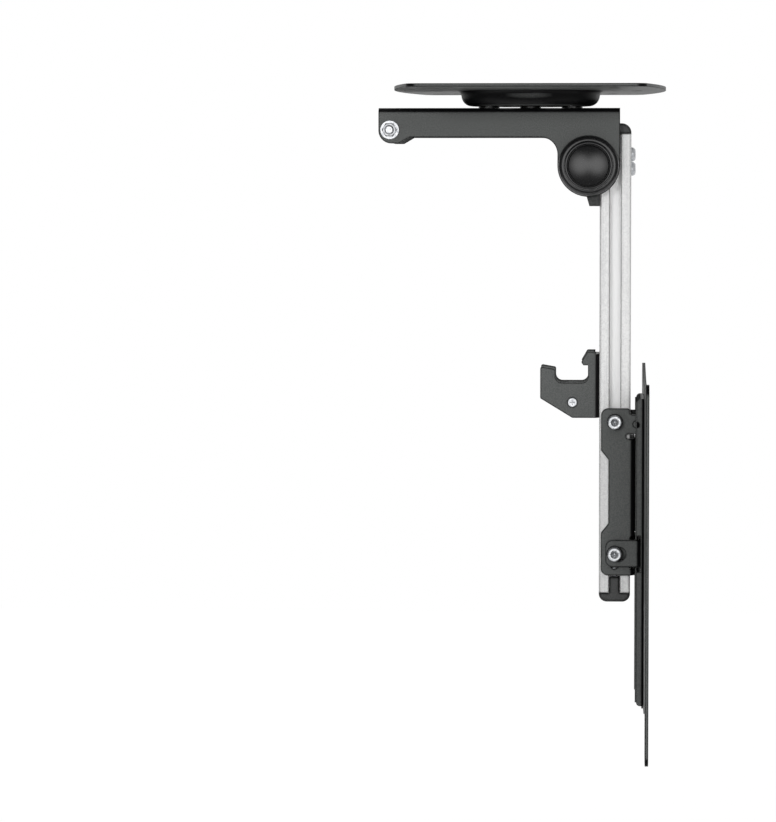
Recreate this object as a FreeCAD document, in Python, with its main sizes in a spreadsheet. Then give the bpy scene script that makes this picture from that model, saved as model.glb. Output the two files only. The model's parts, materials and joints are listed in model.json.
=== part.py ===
import FreeCAD, Part
import Sketcher
import math
import os

# Folding ceiling mount for a flat screen, hanging straight down.
# Origin: the swivel axis at the ceiling plate's top face. X points towards the screen's side,
# Z up, Y along the hinge. Millimetres and degrees.

SIZES = [
    # Ceiling plate with its pressed cup
    ("plateThickness", 2.0, "sheet of the ceiling plate"),
    ("plateLength", 220.0, "along the hinge direction"),
    ("plateEndWidth", 140.0, "straight ends"),
    ("plateMidWidth", 169.0, "across the bulged sides"),
    ("plateCorner", 8.0, "corner radius"),
    ("cupTopRadius", 44.0, "pressed cup at the plate"),
    ("cupFloorRadius", 42.0, "pressed cup at its floor"),
    ("cupDepth", 11.5, "plate top to the cup's lowest face"),
    ("cupFloorRound", 6.5, "outer radius round the floor"),
    ("cupLipRound", 3.0, "outer radius at the plate"),
    ("ceilingHoleRadius", 3.5, "ceiling screw holes and slots"),
    ("ceilingHoleX", 52.0, "round hole pair"),
    ("ceilingSlotX", 54.0, "slot pair"),
    ("ceilingHoleY", 80.0, "holes and slots from the middle"),
    ("middleHoleX", 66.5, "single hole on the middle line"),
    ("middleSlotX", 67.0, "single slot on the middle line"),
    ("ceilingSlotTravel", 17.5, "straight length of a ceiling slot"),
    # Swivel
    ("swivelBoltRadius", 4.0, "M8"),
    ("guideBoltRadius", 3.0, "M6"),
    ("guideCircle", 26.0, "guide bolts from the swivel axis"),
    ("guideClearance", 0.3, "guide bolt in its curved slot, radial"),
    ("runningClearance", 0.05, "turning shaft in its hole, radial"),
    ("swivelReach", 60.0, "swing each way"),
    ("spacerRadius", 6.6, "discs between cup and channel"),
    ("spacerThickness", 1.5, "discs between cup and channel"),
    ("swivelFlats", 13.0, "M8 head and nut"),
    ("swivelHeadHeight", 4.6, "M8 head, low form"),
    ("swivelNutHeight", 6.5, "M8 nut"),
    ("guideFlats", 10.0, "M6 head and nut"),
    ("guideHeadHeight", 4.0, "M6 head"),
    ("guideNutHeight", 5.0, "M6 nut"),
    ("cupWasherThickness", 1.4, "washers inside the cup"),
    ("swivelWasherRadius", 8.5, "M8 washer"),
    ("guideWasherRadius", 6.0, "M6 washer"),
    ("boltTip", 1.4, "thread past a nut"),
    # Channel under the ceiling plate
    ("bendInside", 1.2, "inner radius of the folds in channel, hook, bracket and yoke"),
    ("channelSheet", 2.5, "sheet of the channel"),
    ("channelWidth", 52.0, "outside the flanges"),
    ("catchEndMargin", 7.0, "free end past the catch bolt"),
    ("flangeDepth", 18.1, "whole height between the lobes"),
    ("hingeCorner", 10.5, "hollow corner beside the hinge lobe"),
    ("pivotX", 36.6, "fold hinge from the swivel axis"),
    ("pivotDrop", 35.6, "fold hinge under the channel's top"),
    ("hingeLobe", 19.3, "radius of the flange round the hinge"),
    ("catchReach", 86.6, "catch bolt from the swivel axis"),
    ("catchDrop", 13.5, "catch bolt under the channel's top"),
    ("catchLobeDrop", 8.4, "flange below the catch bolt"),
    ("catchLobeRound", 8.0, "corner round the catch bolt"),
    ("catchLobeReach", 5.6, "lower edge past the catch bolt"),
    ("catchLobeRun", 6.5, "length of the rising edge"),
    # Fold hinge
    ("pivotBoltRadius", 4.0, "M8 hinge bolt"),
    ("pivotFlats", 13.0, "M8 head and nut"),
    ("pivotHeadHeight", 5.3, "M8 head"),
    ("pivotNutHeight", 6.5, "M8 nut"),
    ("pivotWasherRadius", 8.4, "washers under head and nut"),
    ("pivotWasherThickness", 1.5, "washers under head and nut"),
    ("frictionDiscRadius", 14.0, "friction discs in the hinge"),
    ("frictionDiscThickness", 1.5, "friction discs in the hinge"),
    ("coverRadius", 18.7, "round hinge cover"),
    ("coverRimHeight", 4.6, "outer step"),
    ("coverStepRadius", 15.5, "second step"),
    ("coverFaceRadius", 12.2, "domed middle face"),
    ("coverFaceRise", 2.2, "dome of the middle face"),
    ("coverMoat", 1.6, "groove round the middle face, width and depth"),
    ("coverRound", 0.9, "rounded steps"),
    ("coverSocketRadius", 9.2, "hollow over the bolt's head and nut"),
    ("coverSocketGap", 0.6, "hollow past the bolt's end"),
    ("coverWall", 1.2, "second step's top over the hollow"),
    # Catch bolt across the free end
    ("catchBoltRadius", 2.5, "M5"),
    ("catchFlats", 8.0, "M5 head and nut"),
    ("catchHeadHeight", 3.5, "M5 head"),
    ("catchNutHeight", 4.0, "M5 nut"),
    ("catchWasherRadius", 5.9, "wide washer"),
    ("catchWasherThickness", 1.0, "wide washer"),
    # Arm
    ("armOffset", 6.9, "profile's face from the fold hinge"),
    ("armThickness", 19.5, "profile across the groove"),
    ("armWidth", 36.0, "profile along the hinge"),
    ("armAbovePivot", 19.8, "upper end over the fold hinge"),
    ("armLength", 286.5, "profile"),
    ("armWall", 2.0, "wall of the hollow"),
    ("armCorner", 1.0, "edge radius of the profile"),
    ("armHollow", 20.0, "width of the hollow"),
    ("grooveWidth", 6.8, "mouth of the side groove"),
    ("grooveLip", 2.2, "lips of the side groove"),
    ("grooveNutWidth", 11.6, "wide part of the side groove"),
    ("grooveDepth", 6.0, "whole depth of the side groove"),
    ("plugClearance", 0.3, "plugs in the profile"),
    ("topCapHeight", 6.4, "upper end cap"),
    ("topCapRound", 6.0, "upper end cap's edges"),
    ("topPlugLength", 3.6, "upper cap inside the profile"),
    ("bottomCapHeight", 5.6, "lower end cap"),
    ("bottomCapRound", 5.0, "lower end cap's edges"),
    ("bottomPlugLength", 10.0, "lower cap inside the profile"),
    ("tongueLength", 10.0, "lower cap in the side grooves"),
    # Hinge block
    ("blockRadius", 17.0, "barrel of the hinge block"),
    ("blockFootGap", 1.2, "foot under the profile's end"),
    ("blockFootDrop", 25.1, "foot below the fold hinge"),
    ("blockFootThick", 6.4, "foot on the profile"),
    ("blockFootLean", 2.4, "slope of the foot's outer edge"),
    ("blockInsertDrop", 20.0, "insert below the fold hinge"),
    ("blockScrewRise", 7.0, "upper block screw over the fold hinge"),
    ("blockScrewPitch", 9.0, "between the block screws"),
    ("blockScrewRadius", 2.5, "M5"),
    ("blockScrewLength", 15.0, "M5 in the insert"),
    ("blockDrillPast", 1.0, "holes drilled past the screws' ends"),
    ("domeRadius", 4.4, "domed head"),
    ("domeHeight", 2.8, "domed head"),
    # Catch hook on the arm
    ("hookSheet", 2.3, "sheet of the hook bracket"),
    ("hookWidth", 27.0, "outside its cheeks"),
    ("hookRise", 7.2, "upper edge over the caught bolt"),
    ("hookReliefDrop", 1.5, "fold's upper end below the cheeks' edge"),
    ("hookReliefReach", 2.6, "cheeks' edge cut back over the fold"),
    ("hookHeight", 41.4, "whole hook bracket"),
    ("hookReach", 36.9, "from the profile to the outer edge"),
    ("hookSlotDrop", 19.4, "bottom of the mouth below the upper edge"),
    ("hookSlotNear", 7.1, "mouth wall beside the profile"),
    ("hookSlotWidth", 20.3, "across the mouth"),
    ("hookSlotRound", 4.2, "corners of the mouth"),
    ("barbReach", 11.4, "point of the barb from the profile"),
    ("barbPointDrop", 6.6, "point of the barb below the upper edge"),
    ("barbUnderDrop", 8.5, "underside of the barb below the upper edge"),
    ("barbFlat", 1.5, "blunt end of the barb"),
    ("barbTopReach", 7.6, "top of the barb from the profile"),
    ("prongClearance", 1.3, "caught bolt to the outer prong's inner corner"),
    ("prongSlope", 1.7, "rise of the prong's end towards its outer corner"),
    ("hookSideDrop", 29.2, "end of the outer edge below the upper edge"),
    ("hookFootReach", 16.9, "start of the sloping edge"),
    ("hookPinReach", 16.8, "cross pin from the profile"),
    ("hookPinDrop", 31.7, "cross pin below the upper edge"),
    ("hookPinRadius", 2.9, "cross pin"),
    ("hookPinProud", 0.5, "cross pin past the cheeks"),
    ("hookRivetDrop", 12.0, "upper rivet below the upper edge"),
    ("hookRivetPitch", 20.0, "between the rivets"),
    ("hookCorner", 1.2, "small corners"),
    ("rivetRadius", 2.4, "blind rivet"),
    ("rivetHeadRadius", 4.7, "blind rivet"),
    ("rivetHeadHeight", 1.6, "blind rivet"),
    ("rivetBulbRadius", 3.4, "blind rivet's set end"),
    ("rivetBulbLength", 4.0, "blind rivet's set end"),
    # Sliding bracket round the arm
    ("bracketSheet", 2.5, "sheet of the sliding bracket"),
    ("bracketWebGap", 0.3, "web to the profile's face"),
    ("bracketAbove", 8.3, "cheeks over the upper bolts"),
    ("bracketBelow", 14.0, "cheeks below the lower bolts"),
    ("bracketSetback", 1.2, "cheek's edge from the profile's face"),
    ("waistDepth", 4.7, "cheek cut back between the bolts"),
    ("waistUpperGap", 18.0, "upper bolts to the cut"),
    ("waistSlope", 5.8, "height of the cut's sloping ends"),
    ("waistLowerGap", 12.6, "lower bolts to the cut"),
    ("bracketCorner", 4.4, "corners of the cheeks"),
    ("bracketSmallCorner", 1.5, "corners of the shoulder and the waist"),
    ("shoulderSetback", 0.5, "cheek's shoulder from the profile's other face"),
    ("bendRelief", 1.6, "radius of the relief between tab and fold"),
    ("bendReliefDepth", 4.0, "relief's round end from the web's outside"),
    ("tabHeight", 12.0, "hinge tab"),
    ("tabCorner", 2.4, "hinge tab's corners"),
    ("tabGap", 0.2, "tab's end to the spine"),
    ("upperBoltDrop", 179.0, "upper clamping bolts below the profile's top"),
    ("clampPitch", 82.2, "upper to lower clamping bolts"),
    ("accessHoleDrop", 7.6, "small hole below the lower bolts"),
    ("accessHoleRadius", 2.4, "small hole below the lower bolts"),
    ("clampBoltRadius", 2.5, "M5"),
    ("clampHeadRadius", 4.25, "M5 cap head"),
    ("clampHeadHeight", 5.0, "M5 cap head"),
    ("clampSocketFlats", 4.0, "hexagon socket"),
    ("clampSocketDepth", 2.6, "hexagon socket"),
    ("clampWasherRadius", 5.0, "M5 washer"),
    ("clampWasherThickness", 1.0, "M5 washer"),
    ("grooveNutLength", 11.0, "nut in the side groove"),
    ("grooveNutClearance", 0.3, "nut in the side groove"),
    ("grooveNutHeight", 3.4, "nut in the side groove"),
    ("stopRadius", 3.1, "stop screw in the side groove"),
    ("stopHeight", 5.5, "stop screw in the side groove"),
    ("stopGap", 0.2, "stop screw over the lower cap's tongue"),
    ("stopSocketFlats", 2.5, "hexagon socket"),
    ("stopSocketDepth", 2.0, "hexagon socket"),
    # Tilting screen side
    ("tiltOffset", 3.6, "tilt hinge from the profile's face"),
    ("tiltDrop", 1.5, "tilt hinge below the upper bolts"),
    ("tiltPinRadius", 2.0, "tilt pin"),
    ("tiltPinHeadRadius", 2.4, "tilt pin"),
    ("tiltPinHeadHeight", 1.0, "tilt pin"),
    ("tiltRun", 2.85, "travel of the lower bolt in the tilt slot"),
    ("tiltSlotRadius", 4.15, "half the tilt slot's width"),
    ("tiltSleeveClearance", 0.1, "sleeve in the tilt slot, radial"),
    ("screenOffset", 8.5, "screen plate's rear face from the profile"),
    ("screenSheet", 2.0, "sheet of the screen plate"),
    ("spineSheet", 2.0, "sheet of the spine"),
    ("spineWidth", 50.0, "outside the spine's lips"),
    ("spineDepth", 4.6, "spine with its lips"),
    ("spineAbove", 16.1, "upper end over the tilt hinge"),
    ("spineLength", 192.2, "spine"),
    ("spineCorner", 2.4, "corners of the lips"),
    ("yokeWindowClear", 3.1, "lips' gap over and under the yoke"),
    ("yokeClearZ", 1.7, "yoke to the bracket's window"),
    ("earSpan", 32.0, "outside the spine's hinge ears"),
    ("earRadius", 3.0, "spine's hinge ears"),
    ("yokeSheet", 2.0, "sheet of the yoke"),
    ("yokeHeight", 16.8, "yoke, about the lower bolts"),
    ("yokeEndWall", 1.5, "ear's end past the tilt slot"),
    ("yokeCorner", 4.3, "corners of the yoke's ears"),
    # Screen plate
    ("screenWidth", 224.0, "across the plate"),
    ("screenAbove", 113.0, "upper corners over the patterns' middle"),
    ("screenDip", 11.5, "sag of the upper edge"),
    ("screenBelow", 117.8, "legs' ends below the patterns' middle"),
    ("legWidth", 25.0, "legs"),
    ("legRoot", 86.0, "inner corner of a leg below the patterns' middle"),
    ("legCorner", 5.0, "inner corner of a leg"),
    ("screenBelly", 14.5, "bulge of the lower edge"),
    ("screenCorner", 8.0, "corner radius"),
    ("patternDrop", 80.7, "patterns' middle below the tilt hinge"),
    ("patternLarge", 200.0, "large square pattern"),
    ("patternMedium", 100.0, "medium square pattern"),
    ("patternSmall", 75.0, "small square pattern"),
    ("patternLargeRadius", 3.25, "large pattern's holes"),
    ("patternSmallRadius", 2.4, "other patterns' holes"),
    ("plateRivetRadius", 2.0, "rivets through spine and plate"),
    ("plateRivetHeadRadius", 3.8, "rivets through spine and plate"),
    ("plateRivetHeadHeight", 1.2, "rivets through spine and plate"),
    ("plateRivetY", 12.0, "rivets from the middle"),
    ("plateRivetDrop", 26.7, "upper rivet pair below the tilt hinge"),
    ("plateRivetPitch", 114.0, "between the rivet pairs"),
]

doc = FreeCAD.newDocument("CeilingMount")
sheet = doc.addObject("Spreadsheet::Sheet", "Sizes")
for row, (alias, value, note) in enumerate(SIZES, start=1):
    sheet.set("A%d" % row, note)
    sheet.set("B%d" % row, str(value))
    sheet.setAlias("B%d" % row, alias)
doc.recompute()


class Size:
    """A length as a number and as the sheet expression that gives it."""

    def __init__(self, value, text):
        self.value = value
        self.text = text

    @staticmethod
    def of(other):
        return other if isinstance(other, Size) else Size(float(other), repr(float(other)))

    def __add__(self, other):
        other = Size.of(other)
        return Size(self.value + other.value, "(%s + %s)" % (self.text, other.text))

    def __sub__(self, other):
        other = Size.of(other)
        return Size(self.value - other.value, "(%s - %s)" % (self.text, other.text))

    def __mul__(self, other):
        other = Size.of(other)
        return Size(self.value * other.value, "(%s * %s)" % (self.text, other.text))

    def __truediv__(self, other):
        other = Size.of(other)
        return Size(self.value / other.value, "(%s / %s)" % (self.text, other.text))

    def __neg__(self):
        return Size(-self.value, "(-1 * %s)" % self.text)

    __radd__ = __add__
    __rmul__ = __mul__

    def __rsub__(self, other):
        return Size.of(other) - self


S = {alias: Size(value, "Sizes." + alias) for alias, value, note in SIZES}
ZERO = Size(0.0, "0")


def cosine(angle):
    return Size(math.cos(math.radians(angle.value)), "cos(%s)" % angle.text)


def sine(angle):
    return Size(math.sin(math.radians(angle.value)), "sin(%s)" % angle.text)


def bind(thing, prop, size):
    """Give a property its number and tie it to the sheet."""
    size = Size.of(size)
    thing.setExpression(prop, size.text)


def newBody(label, x=ZERO, z=ZERO):
    body = doc.addObject("PartDesign::Body", label)
    body.Label = label
    if x is not ZERO:
        bind(body, "Placement.Base.x", x)
        bind(body, "Placement.Base.z", z)
    return body


def newSketch(body, plane, offset=ZERO):
    """A sketch on one of the body's origin planes, moved along the plane's normal."""
    sketch = body.newObject("Sketcher::SketchObject", body.Name + "_sketch")
    origin = [item for item in body.Origin.OriginFeatures if item.Role == plane + "_Plane"][0]
    sketch.AttachmentSupport = (origin, [""])
    sketch.MapMode = "FlatFace"
    if offset is not ZERO:
        bind(sketch, "AttachmentOffset.Base.z", offset)
    return sketch


def fix(sketch, geo, end, x, y):
    """Hold one point of a sketch at bound coordinates."""
    for kind, size in (("DistanceX", Size.of(x)), ("DistanceY", Size.of(y))):
        index = sketch.addConstraint(Sketcher.Constraint(kind, -1, 1, geo, end, size.value))
        sketch.setExpression("Constraints[%d]" % index, size.text)


def arcBetween(start, end, radius, bulge):
    """An arc from start to end. A bulge of 1 lies left of the way, and -1 right of it."""
    chord = end - start
    half = chord.Length / 2
    rise = math.sqrt(max(radius * radius - half * half, 0.0))
    side = FreeCAD.Vector(-chord.y, chord.x, 0).normalize() * bulge
    centre = (start + end) * 0.5 - side * rise
    first, last = (end, start) if bulge > 0 else (start, end)
    circle = Part.Circle(centre, FreeCAD.Vector(0, 0, 1), radius)
    return Part.ArcOfCircle(circle, circle.parameter(first), circle.parameter(last))


def outline(sketch, points):
    """A closed outline. A point is (x, y), or (x, y, radius, bulge) where an arc starts."""
    places = [FreeCAD.Vector(Size.of(p[0]).value, Size.of(p[1]).value, 0) for p in points]
    ends = []
    for index, point in enumerate(points):
        start = places[index]
        end = places[(index + 1) % len(points)]
        if len(point) == 4:
            geo = sketch.addGeometry(arcBetween(start, end, point[2].value, point[3]))
            ends.append((geo, 2, 1) if point[3] > 0 else (geo, 1, 2))
        else:
            geo = sketch.addGeometry(Part.LineSegment(start, end))
            ends.append((geo, 1, 2))
    for index, (geo, first, last) in enumerate(ends):
        following = ends[(index + 1) % len(ends)]
        sketch.addConstraint(Sketcher.Constraint("Coincident", geo, last, following[0], following[1]))
    for index, (geo, first, last) in enumerate(ends):
        fix(sketch, geo, first, points[index][0], points[index][1])
        if len(points[index]) == 4:
            radius = points[index][2]
            number = sketch.addConstraint(Sketcher.Constraint("Radius", geo, radius.value))
            sketch.setExpression("Constraints[%d]" % number, radius.text)


def rectangle(sketch, x0, x1, y0, y1):
    outline(sketch, [(x0, y0), (x1, y0), (x1, y1), (x0, y1)])


def hole(sketch, x, y, radius):
    place = FreeCAD.Vector(Size.of(x).value, Size.of(y).value, 0)
    geo = sketch.addGeometry(Part.Circle(place, FreeCAD.Vector(0, 0, 1), radius.value))
    fix(sketch, geo, 3, x, y)
    number = sketch.addConstraint(Sketcher.Constraint("Radius", geo, radius.value))
    sketch.setExpression("Constraints[%d]" % number, radius.text)


def slot(sketch, x0, y0, x1, y1, radius):
    """A straight slot between two centres, as two half circles and two lines."""
    start = FreeCAD.Vector(Size.of(x0).value, Size.of(y0).value, 0)
    end = FreeCAD.Vector(Size.of(x1).value, Size.of(y1).value, 0)
    along = (end - start).normalize()
    across = FreeCAD.Vector(-along.y, along.x, 0) * radius.value
    left = sketch.addGeometry(arcBetween(start - across, start + across, radius.value, 1))
    right = sketch.addGeometry(arcBetween(end + across, end - across, radius.value, 1))
    lower = sketch.addGeometry(Part.LineSegment(start - across, end - across))
    upper = sketch.addGeometry(Part.LineSegment(end + across, start + across))
    fix(sketch, left, 3, x0, y0)
    fix(sketch, right, 3, x1, y1)
    for geo in (left, right):
        number = sketch.addConstraint(Sketcher.Constraint("Radius", geo, radius.value))
        sketch.setExpression("Constraints[%d]" % number, radius.text)
    for arc, line, arcEnd, lineEnd in joints(sketch, (left, right), (lower, upper)):
        sketch.addConstraint(Sketcher.Constraint("Tangent", arc, arcEnd, line, lineEnd))


def joints(sketch, arcs, lines):
    """The ends of arcs and lines that lie on each other."""
    found = []
    for arc in arcs:
        for line in lines:
            for arcEnd in (1, 2):
                for lineEnd in (1, 2):
                    gap = sketch.getPoint(arc, arcEnd) - sketch.getPoint(line, lineEnd)
                    if gap.Length < 1e-6:
                        found.append((arc, line, arcEnd, lineEnd))
    return found


def pad(body, sketch, length, symmetric=False, back=False):
    feature = body.newObject("PartDesign::Pad", body.Name + "_pad")
    feature.Profile = sketch
    bind(feature, "Length", length)
    feature.SideType = "Symmetric" if symmetric else "One side"
    feature.Reversed = back
    doc.recompute()
    return feature


def pocket(body, sketch, length=None, symmetric=False, back=False):
    """A cut against the sketch's normal, or right through without a length."""
    before = body.Shape.Volume
    feature = body.newObject("PartDesign::Pocket", body.Name + "_pocket")
    feature.Profile = sketch
    if length is None:
        feature.Type = "ThroughAll"
    else:
        bind(feature, "Length", length)
    feature.SideType = "Symmetric" if symmetric else "One side"
    feature.Reversed = back
    doc.recompute()
    if body.Shape.Volume > before - 1e-3:
        raise RuntimeError("A pocket cut nothing in " + body.Label)
    return feature


def turn(body, sketch, kind="PartDesign::Revolution"):
    """Revolve a sketch about its own vertical axis."""
    feature = body.newObject(kind, body.Name + "_turn")
    feature.Profile = sketch
    feature.ReferenceAxis = (sketch, ["V_Axis"])
    feature.Angle = 360
    doc.recompute()
    return feature


def edgesWhere(shape, test):
    return ["Edge%d" % (i + 1) for i, edge in enumerate(shape.Edges) if test(edge)]


def near(value, size, slack=0.02):
    return abs(value - Size.of(size).value) < slack


def spans(edge, axis):
    """Whether an edge is straight and runs along X, Y or Z only."""
    box = edge.BoundBox
    lengths = {"X": box.XLength, "Y": box.YLength, "Z": box.ZLength}
    longest = lengths.pop(axis)
    return longest > 0.1 and max(lengths.values()) < 1e-4


def roundEdges(body, radius, test):
    """A fillet on the edges of the body that pass the test."""
    base = body.Tip
    names = edgesWhere(base.Shape, test)
    if not names:
        raise RuntimeError("No edge to round in " + body.Label)
    feature = body.newObject("PartDesign::Fillet", body.Name + "_round")
    feature.Base = (base, names)
    bind(feature, "Radius", radius)
    doc.recompute()
    if not feature.isValid():
        raise RuntimeError("A fillet failed in " + body.Label)
    return feature


def cornersAt(places, axis="Y"):
    """A test for straight edges along an axis through the given places across it."""
    def test(edge):
        if not spans(edge, axis):
            return False
        point = edge.CenterOfMass
        across = {"X": (point.y, point.z), "Y": (point.x, point.z), "Z": (point.x, point.y)}[axis]
        return any(near(across[0], a) and near(across[1], b) for a, b in places)
    return test


TURNS = {
    "+Z": FreeCAD.Rotation(0, 0, 0, 1),
    "-Z": FreeCAD.Rotation(FreeCAD.Vector(1, 0, 0), 180),
    "+Y": FreeCAD.Rotation(FreeCAD.Vector(1, 0, 0), -90),
    "-Y": FreeCAD.Rotation(FreeCAD.Vector(1, 0, 0), 90),
    "+X": FreeCAD.Rotation(FreeCAD.Vector(0, 1, 0), 90),
    "-X": FreeCAD.Rotation(FreeCAD.Vector(0, 1, 0), -90),
}


def primitive(kind, name, radius, start, length, place, way):
    """A cylinder, hexagon or domed head that starts part way along an axis."""
    if kind == "hex":
        item = doc.addObject("Part::Prism", name)
        item.Polygon = 6
        bind(item, "Circumradius", radius / Size(math.sqrt(3), "sqrt(3)"))
        bind(item, "Height", length)
    elif kind == "dome":
        item = doc.addObject("Part::Sphere", name)
        ball = (radius * radius + length * length) / (length * 2)
        bind(item, "Radius", ball)
        item.setExpression("Angle1", "asin(1 - %s / %s)" % (length.text, ball.text))
        item.Angle2 = 90
        start = start - (ball - length)
    else:
        item = doc.addObject("Part::Cylinder", name)
        bind(item, "Radius", radius)
        bind(item, "Height", length)
    item.Placement = FreeCAD.Placement(FreeCAD.Vector(0, 0, 0), TURNS[way])
    for axis, coordinate in zip("XYZ", place):
        coordinate = Size.of(coordinate)
        if way[1] == axis:
            coordinate = coordinate + start if way[0] == "+" else coordinate - start
        bind(item, "Placement.Base." + axis.lower(), coordinate)
    return item


def fastener(label, places, solids, cuts=()):
    """One turned or hexagonal piece at each place, as one labelled group of separate solids."""
    pieces = []
    for number, (place, way) in enumerate(places):
        name = "%s_%d" % (label, number + 1)
        parts = [primitive(s[0], name + "_body", s[1], s[2], s[3], place, way) for s in solids]
        piece = parts[0]
        if len(parts) > 1:
            piece = doc.addObject("Part::MultiFuse", name + "_joined")
            piece.Shapes = parts
        for cut in cuts:
            tool = primitive(cut[0], name + "_cut", cut[1], cut[2], cut[3], place, way)
            drilled = doc.addObject("Part::Cut", name + "_drilled")
            drilled.Base = piece
            drilled.Tool = tool
            piece = drilled
        pieces.append(piece)
    if len(pieces) == 1:
        group = pieces[0]
    else:
        group = doc.addObject("Part::Compound", label)
        group.Links = pieces
    group.Label = label
    doc.recompute()
    return group


# Places that several pieces share, worked out from the ceiling downwards
plateBottom = -S["plateThickness"]
cupBottom = -S["cupDepth"]
cupInside = S["plateThickness"] - S["cupDepth"]
channelTop = cupBottom - S["spacerThickness"]
webUnder = channelTop - S["channelSheet"]
flangeBottom = channelTop - S["flangeDepth"]
flangeOut = S["channelWidth"] / 2
flangeIn = flangeOut - S["channelSheet"]
pivotX = S["pivotX"]
pivotZ = channelTop - S["pivotDrop"]
catchX = -S["catchReach"]
catchZ = channelTop - S["catchDrop"]

armLeft = pivotX + S["armOffset"]
armRight = armLeft + S["armThickness"]
armMiddle = armLeft + S["armThickness"] / 2
armHalf = S["armWidth"] / 2
armTop = pivotZ + S["armAbovePivot"]
armBottom = armTop - S["armLength"]
hollowHalf = S["armHollow"] / 2
blockHalf = flangeIn - S["frictionDiscThickness"]
blockScrewZ = [pivotZ + S["blockScrewRise"], pivotZ + S["blockScrewRise"] - S["blockScrewPitch"]]

# With the arm folded up, the catch bolt lies at this height along the hanging arm.
caughtZ = pivotZ + catchX - pivotX
hookTop = caughtZ + S["hookRise"]
hookOut = S["hookWidth"] / 2
hookIn = hookOut - S["hookSheet"]
hookWeb = armLeft - S["hookSheet"]
hookRivetZ = [hookTop - S["hookRivetDrop"],
              hookTop - S["hookRivetDrop"] - S["hookRivetPitch"]]

upperBoltZ = armTop - S["upperBoltDrop"]
lowerBoltZ = upperBoltZ - S["clampPitch"]
tiltX = armRight + S["tiltOffset"]
tiltZ = upperBoltZ - S["tiltDrop"]
cheekOut = armHalf + S["bracketSheet"]
webInside = armRight + S["bracketWebGap"]
bracketRight = webInside + S["bracketSheet"]
yokeOut = cheekOut + S["yokeSheet"]
yokeTop = lowerBoltZ + S["yokeHeight"] / 2
yokeBottom = lowerBoltZ - S["yokeHeight"] / 2
screenX = armRight + S["screenOffset"]
screenFront = screenX + S["screenSheet"]
spineX = screenX - S["spineSheet"]
lipX = screenX - S["spineDepth"]
lipIn = S["spineWidth"] / 2 - S["spineSheet"]
patternZ = tiltZ - S["patternDrop"]
plateRivets = [(y, z) for y in (-S["plateRivetY"], S["plateRivetY"])
               for z in (tiltZ - S["plateRivetDrop"],
                         tiltZ - S["plateRivetDrop"] - S["plateRivetPitch"])]
turning = S["runningClearance"]


def makeCeilingPlate():
    body = newBody("ceiling_plate")
    halfLength = S["plateLength"] / 2
    halfEnd = S["plateEndWidth"] / 2
    bulge = (S["plateMidWidth"] - S["plateEndWidth"]) / 2
    sideRadius = (halfLength * halfLength + bulge * bulge) / (bulge * 2)
    sketch = newSketch(body, "XY", plateBottom)
    outline(sketch, [(-halfEnd, -halfLength), (halfEnd, -halfLength, sideRadius, -1),
                     (halfEnd, halfLength), (-halfEnd, halfLength, sideRadius, -1)])
    pad(body, sketch, S["plateThickness"])
    sketch = newSketch(body, "XZ")
    outline(sketch, [(0, plateBottom), (S["cupTopRadius"], plateBottom),
                     (S["cupFloorRadius"], cupBottom), (0, cupBottom)])
    turn(body, sketch)
    sketch = newSketch(body, "XZ")
    wall = S["plateThickness"]
    outline(sketch, [(0, 0), (S["cupTopRadius"] - wall, 0),
                     (S["cupFloorRadius"] - wall, cupInside), (0, cupInside)])
    turn(body, sketch, "PartDesign::Groove")

    def ring(radius, height):
        return lambda edge: (near(edge.BoundBox.XLength / 2, radius, 0.05)
                             and near(edge.BoundBox.ZMin, height)
                             and near(edge.BoundBox.ZMax, height))
    roundEdges(body, S["cupFloorRound"], ring(S["cupFloorRadius"], cupBottom))
    roundEdges(body, S["cupFloorRound"] - wall, ring(S["cupFloorRadius"] - wall, cupInside))
    roundEdges(body, S["cupLipRound"], ring(S["cupTopRadius"], plateBottom))
    roundEdges(body, S["cupLipRound"], ring(S["cupTopRadius"] - wall, ZERO))
    corners = [(sx * halfEnd.value, sy * halfLength.value) for sx in (-1, 1) for sy in (-1, 1)]
    roundEdges(body, S["plateCorner"], cornersAt(corners, "Z"))

    sketch = newSketch(body, "XY")
    radius = S["ceilingHoleRadius"]
    travel = S["ceilingSlotTravel"] / 2
    for y in (-S["ceilingHoleY"], S["ceilingHoleY"]):
        hole(sketch, S["ceilingHoleX"], y, radius)
        slot(sketch, -S["ceilingSlotX"] - travel, y, -S["ceilingSlotX"] + travel, y, radius)
    hole(sketch, S["middleHoleX"], 0, radius)
    slot(sketch, -S["middleSlotX"] - travel, 0, -S["middleSlotX"] + travel, 0, radius)
    hole(sketch, 0, 0, S["swivelBoltRadius"] + turning)
    pocket(body, sketch)
    makeGuideSlots(body)


def makeGuideSlots(body):
    """Two curved slots in the cup's floor, one at each side of the swivel bolt."""
    half = S["guideBoltRadius"] + S["guideClearance"]
    inner = S["guideCircle"] - half
    outer = S["guideCircle"] + half
    across = cosine(S["swivelReach"])
    along = sine(S["swivelReach"])
    sketch = newSketch(body, "XY")
    for side in (1, -1):
        def at(radius, way):
            return (across * radius * side, along * radius * way)
        outline(sketch, [at(outer, -side) + (outer, -1), at(outer, side),
                         at(inner, side) + (inner, 1), at(inner, -side)])
    pocket(body, sketch)
    sketch = newSketch(body, "XY")
    for side in (1, -1):
        for way in (1, -1):
            hole(sketch, across * S["guideCircle"] * side, along * S["guideCircle"] * way, half)
    pocket(body, sketch)


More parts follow.
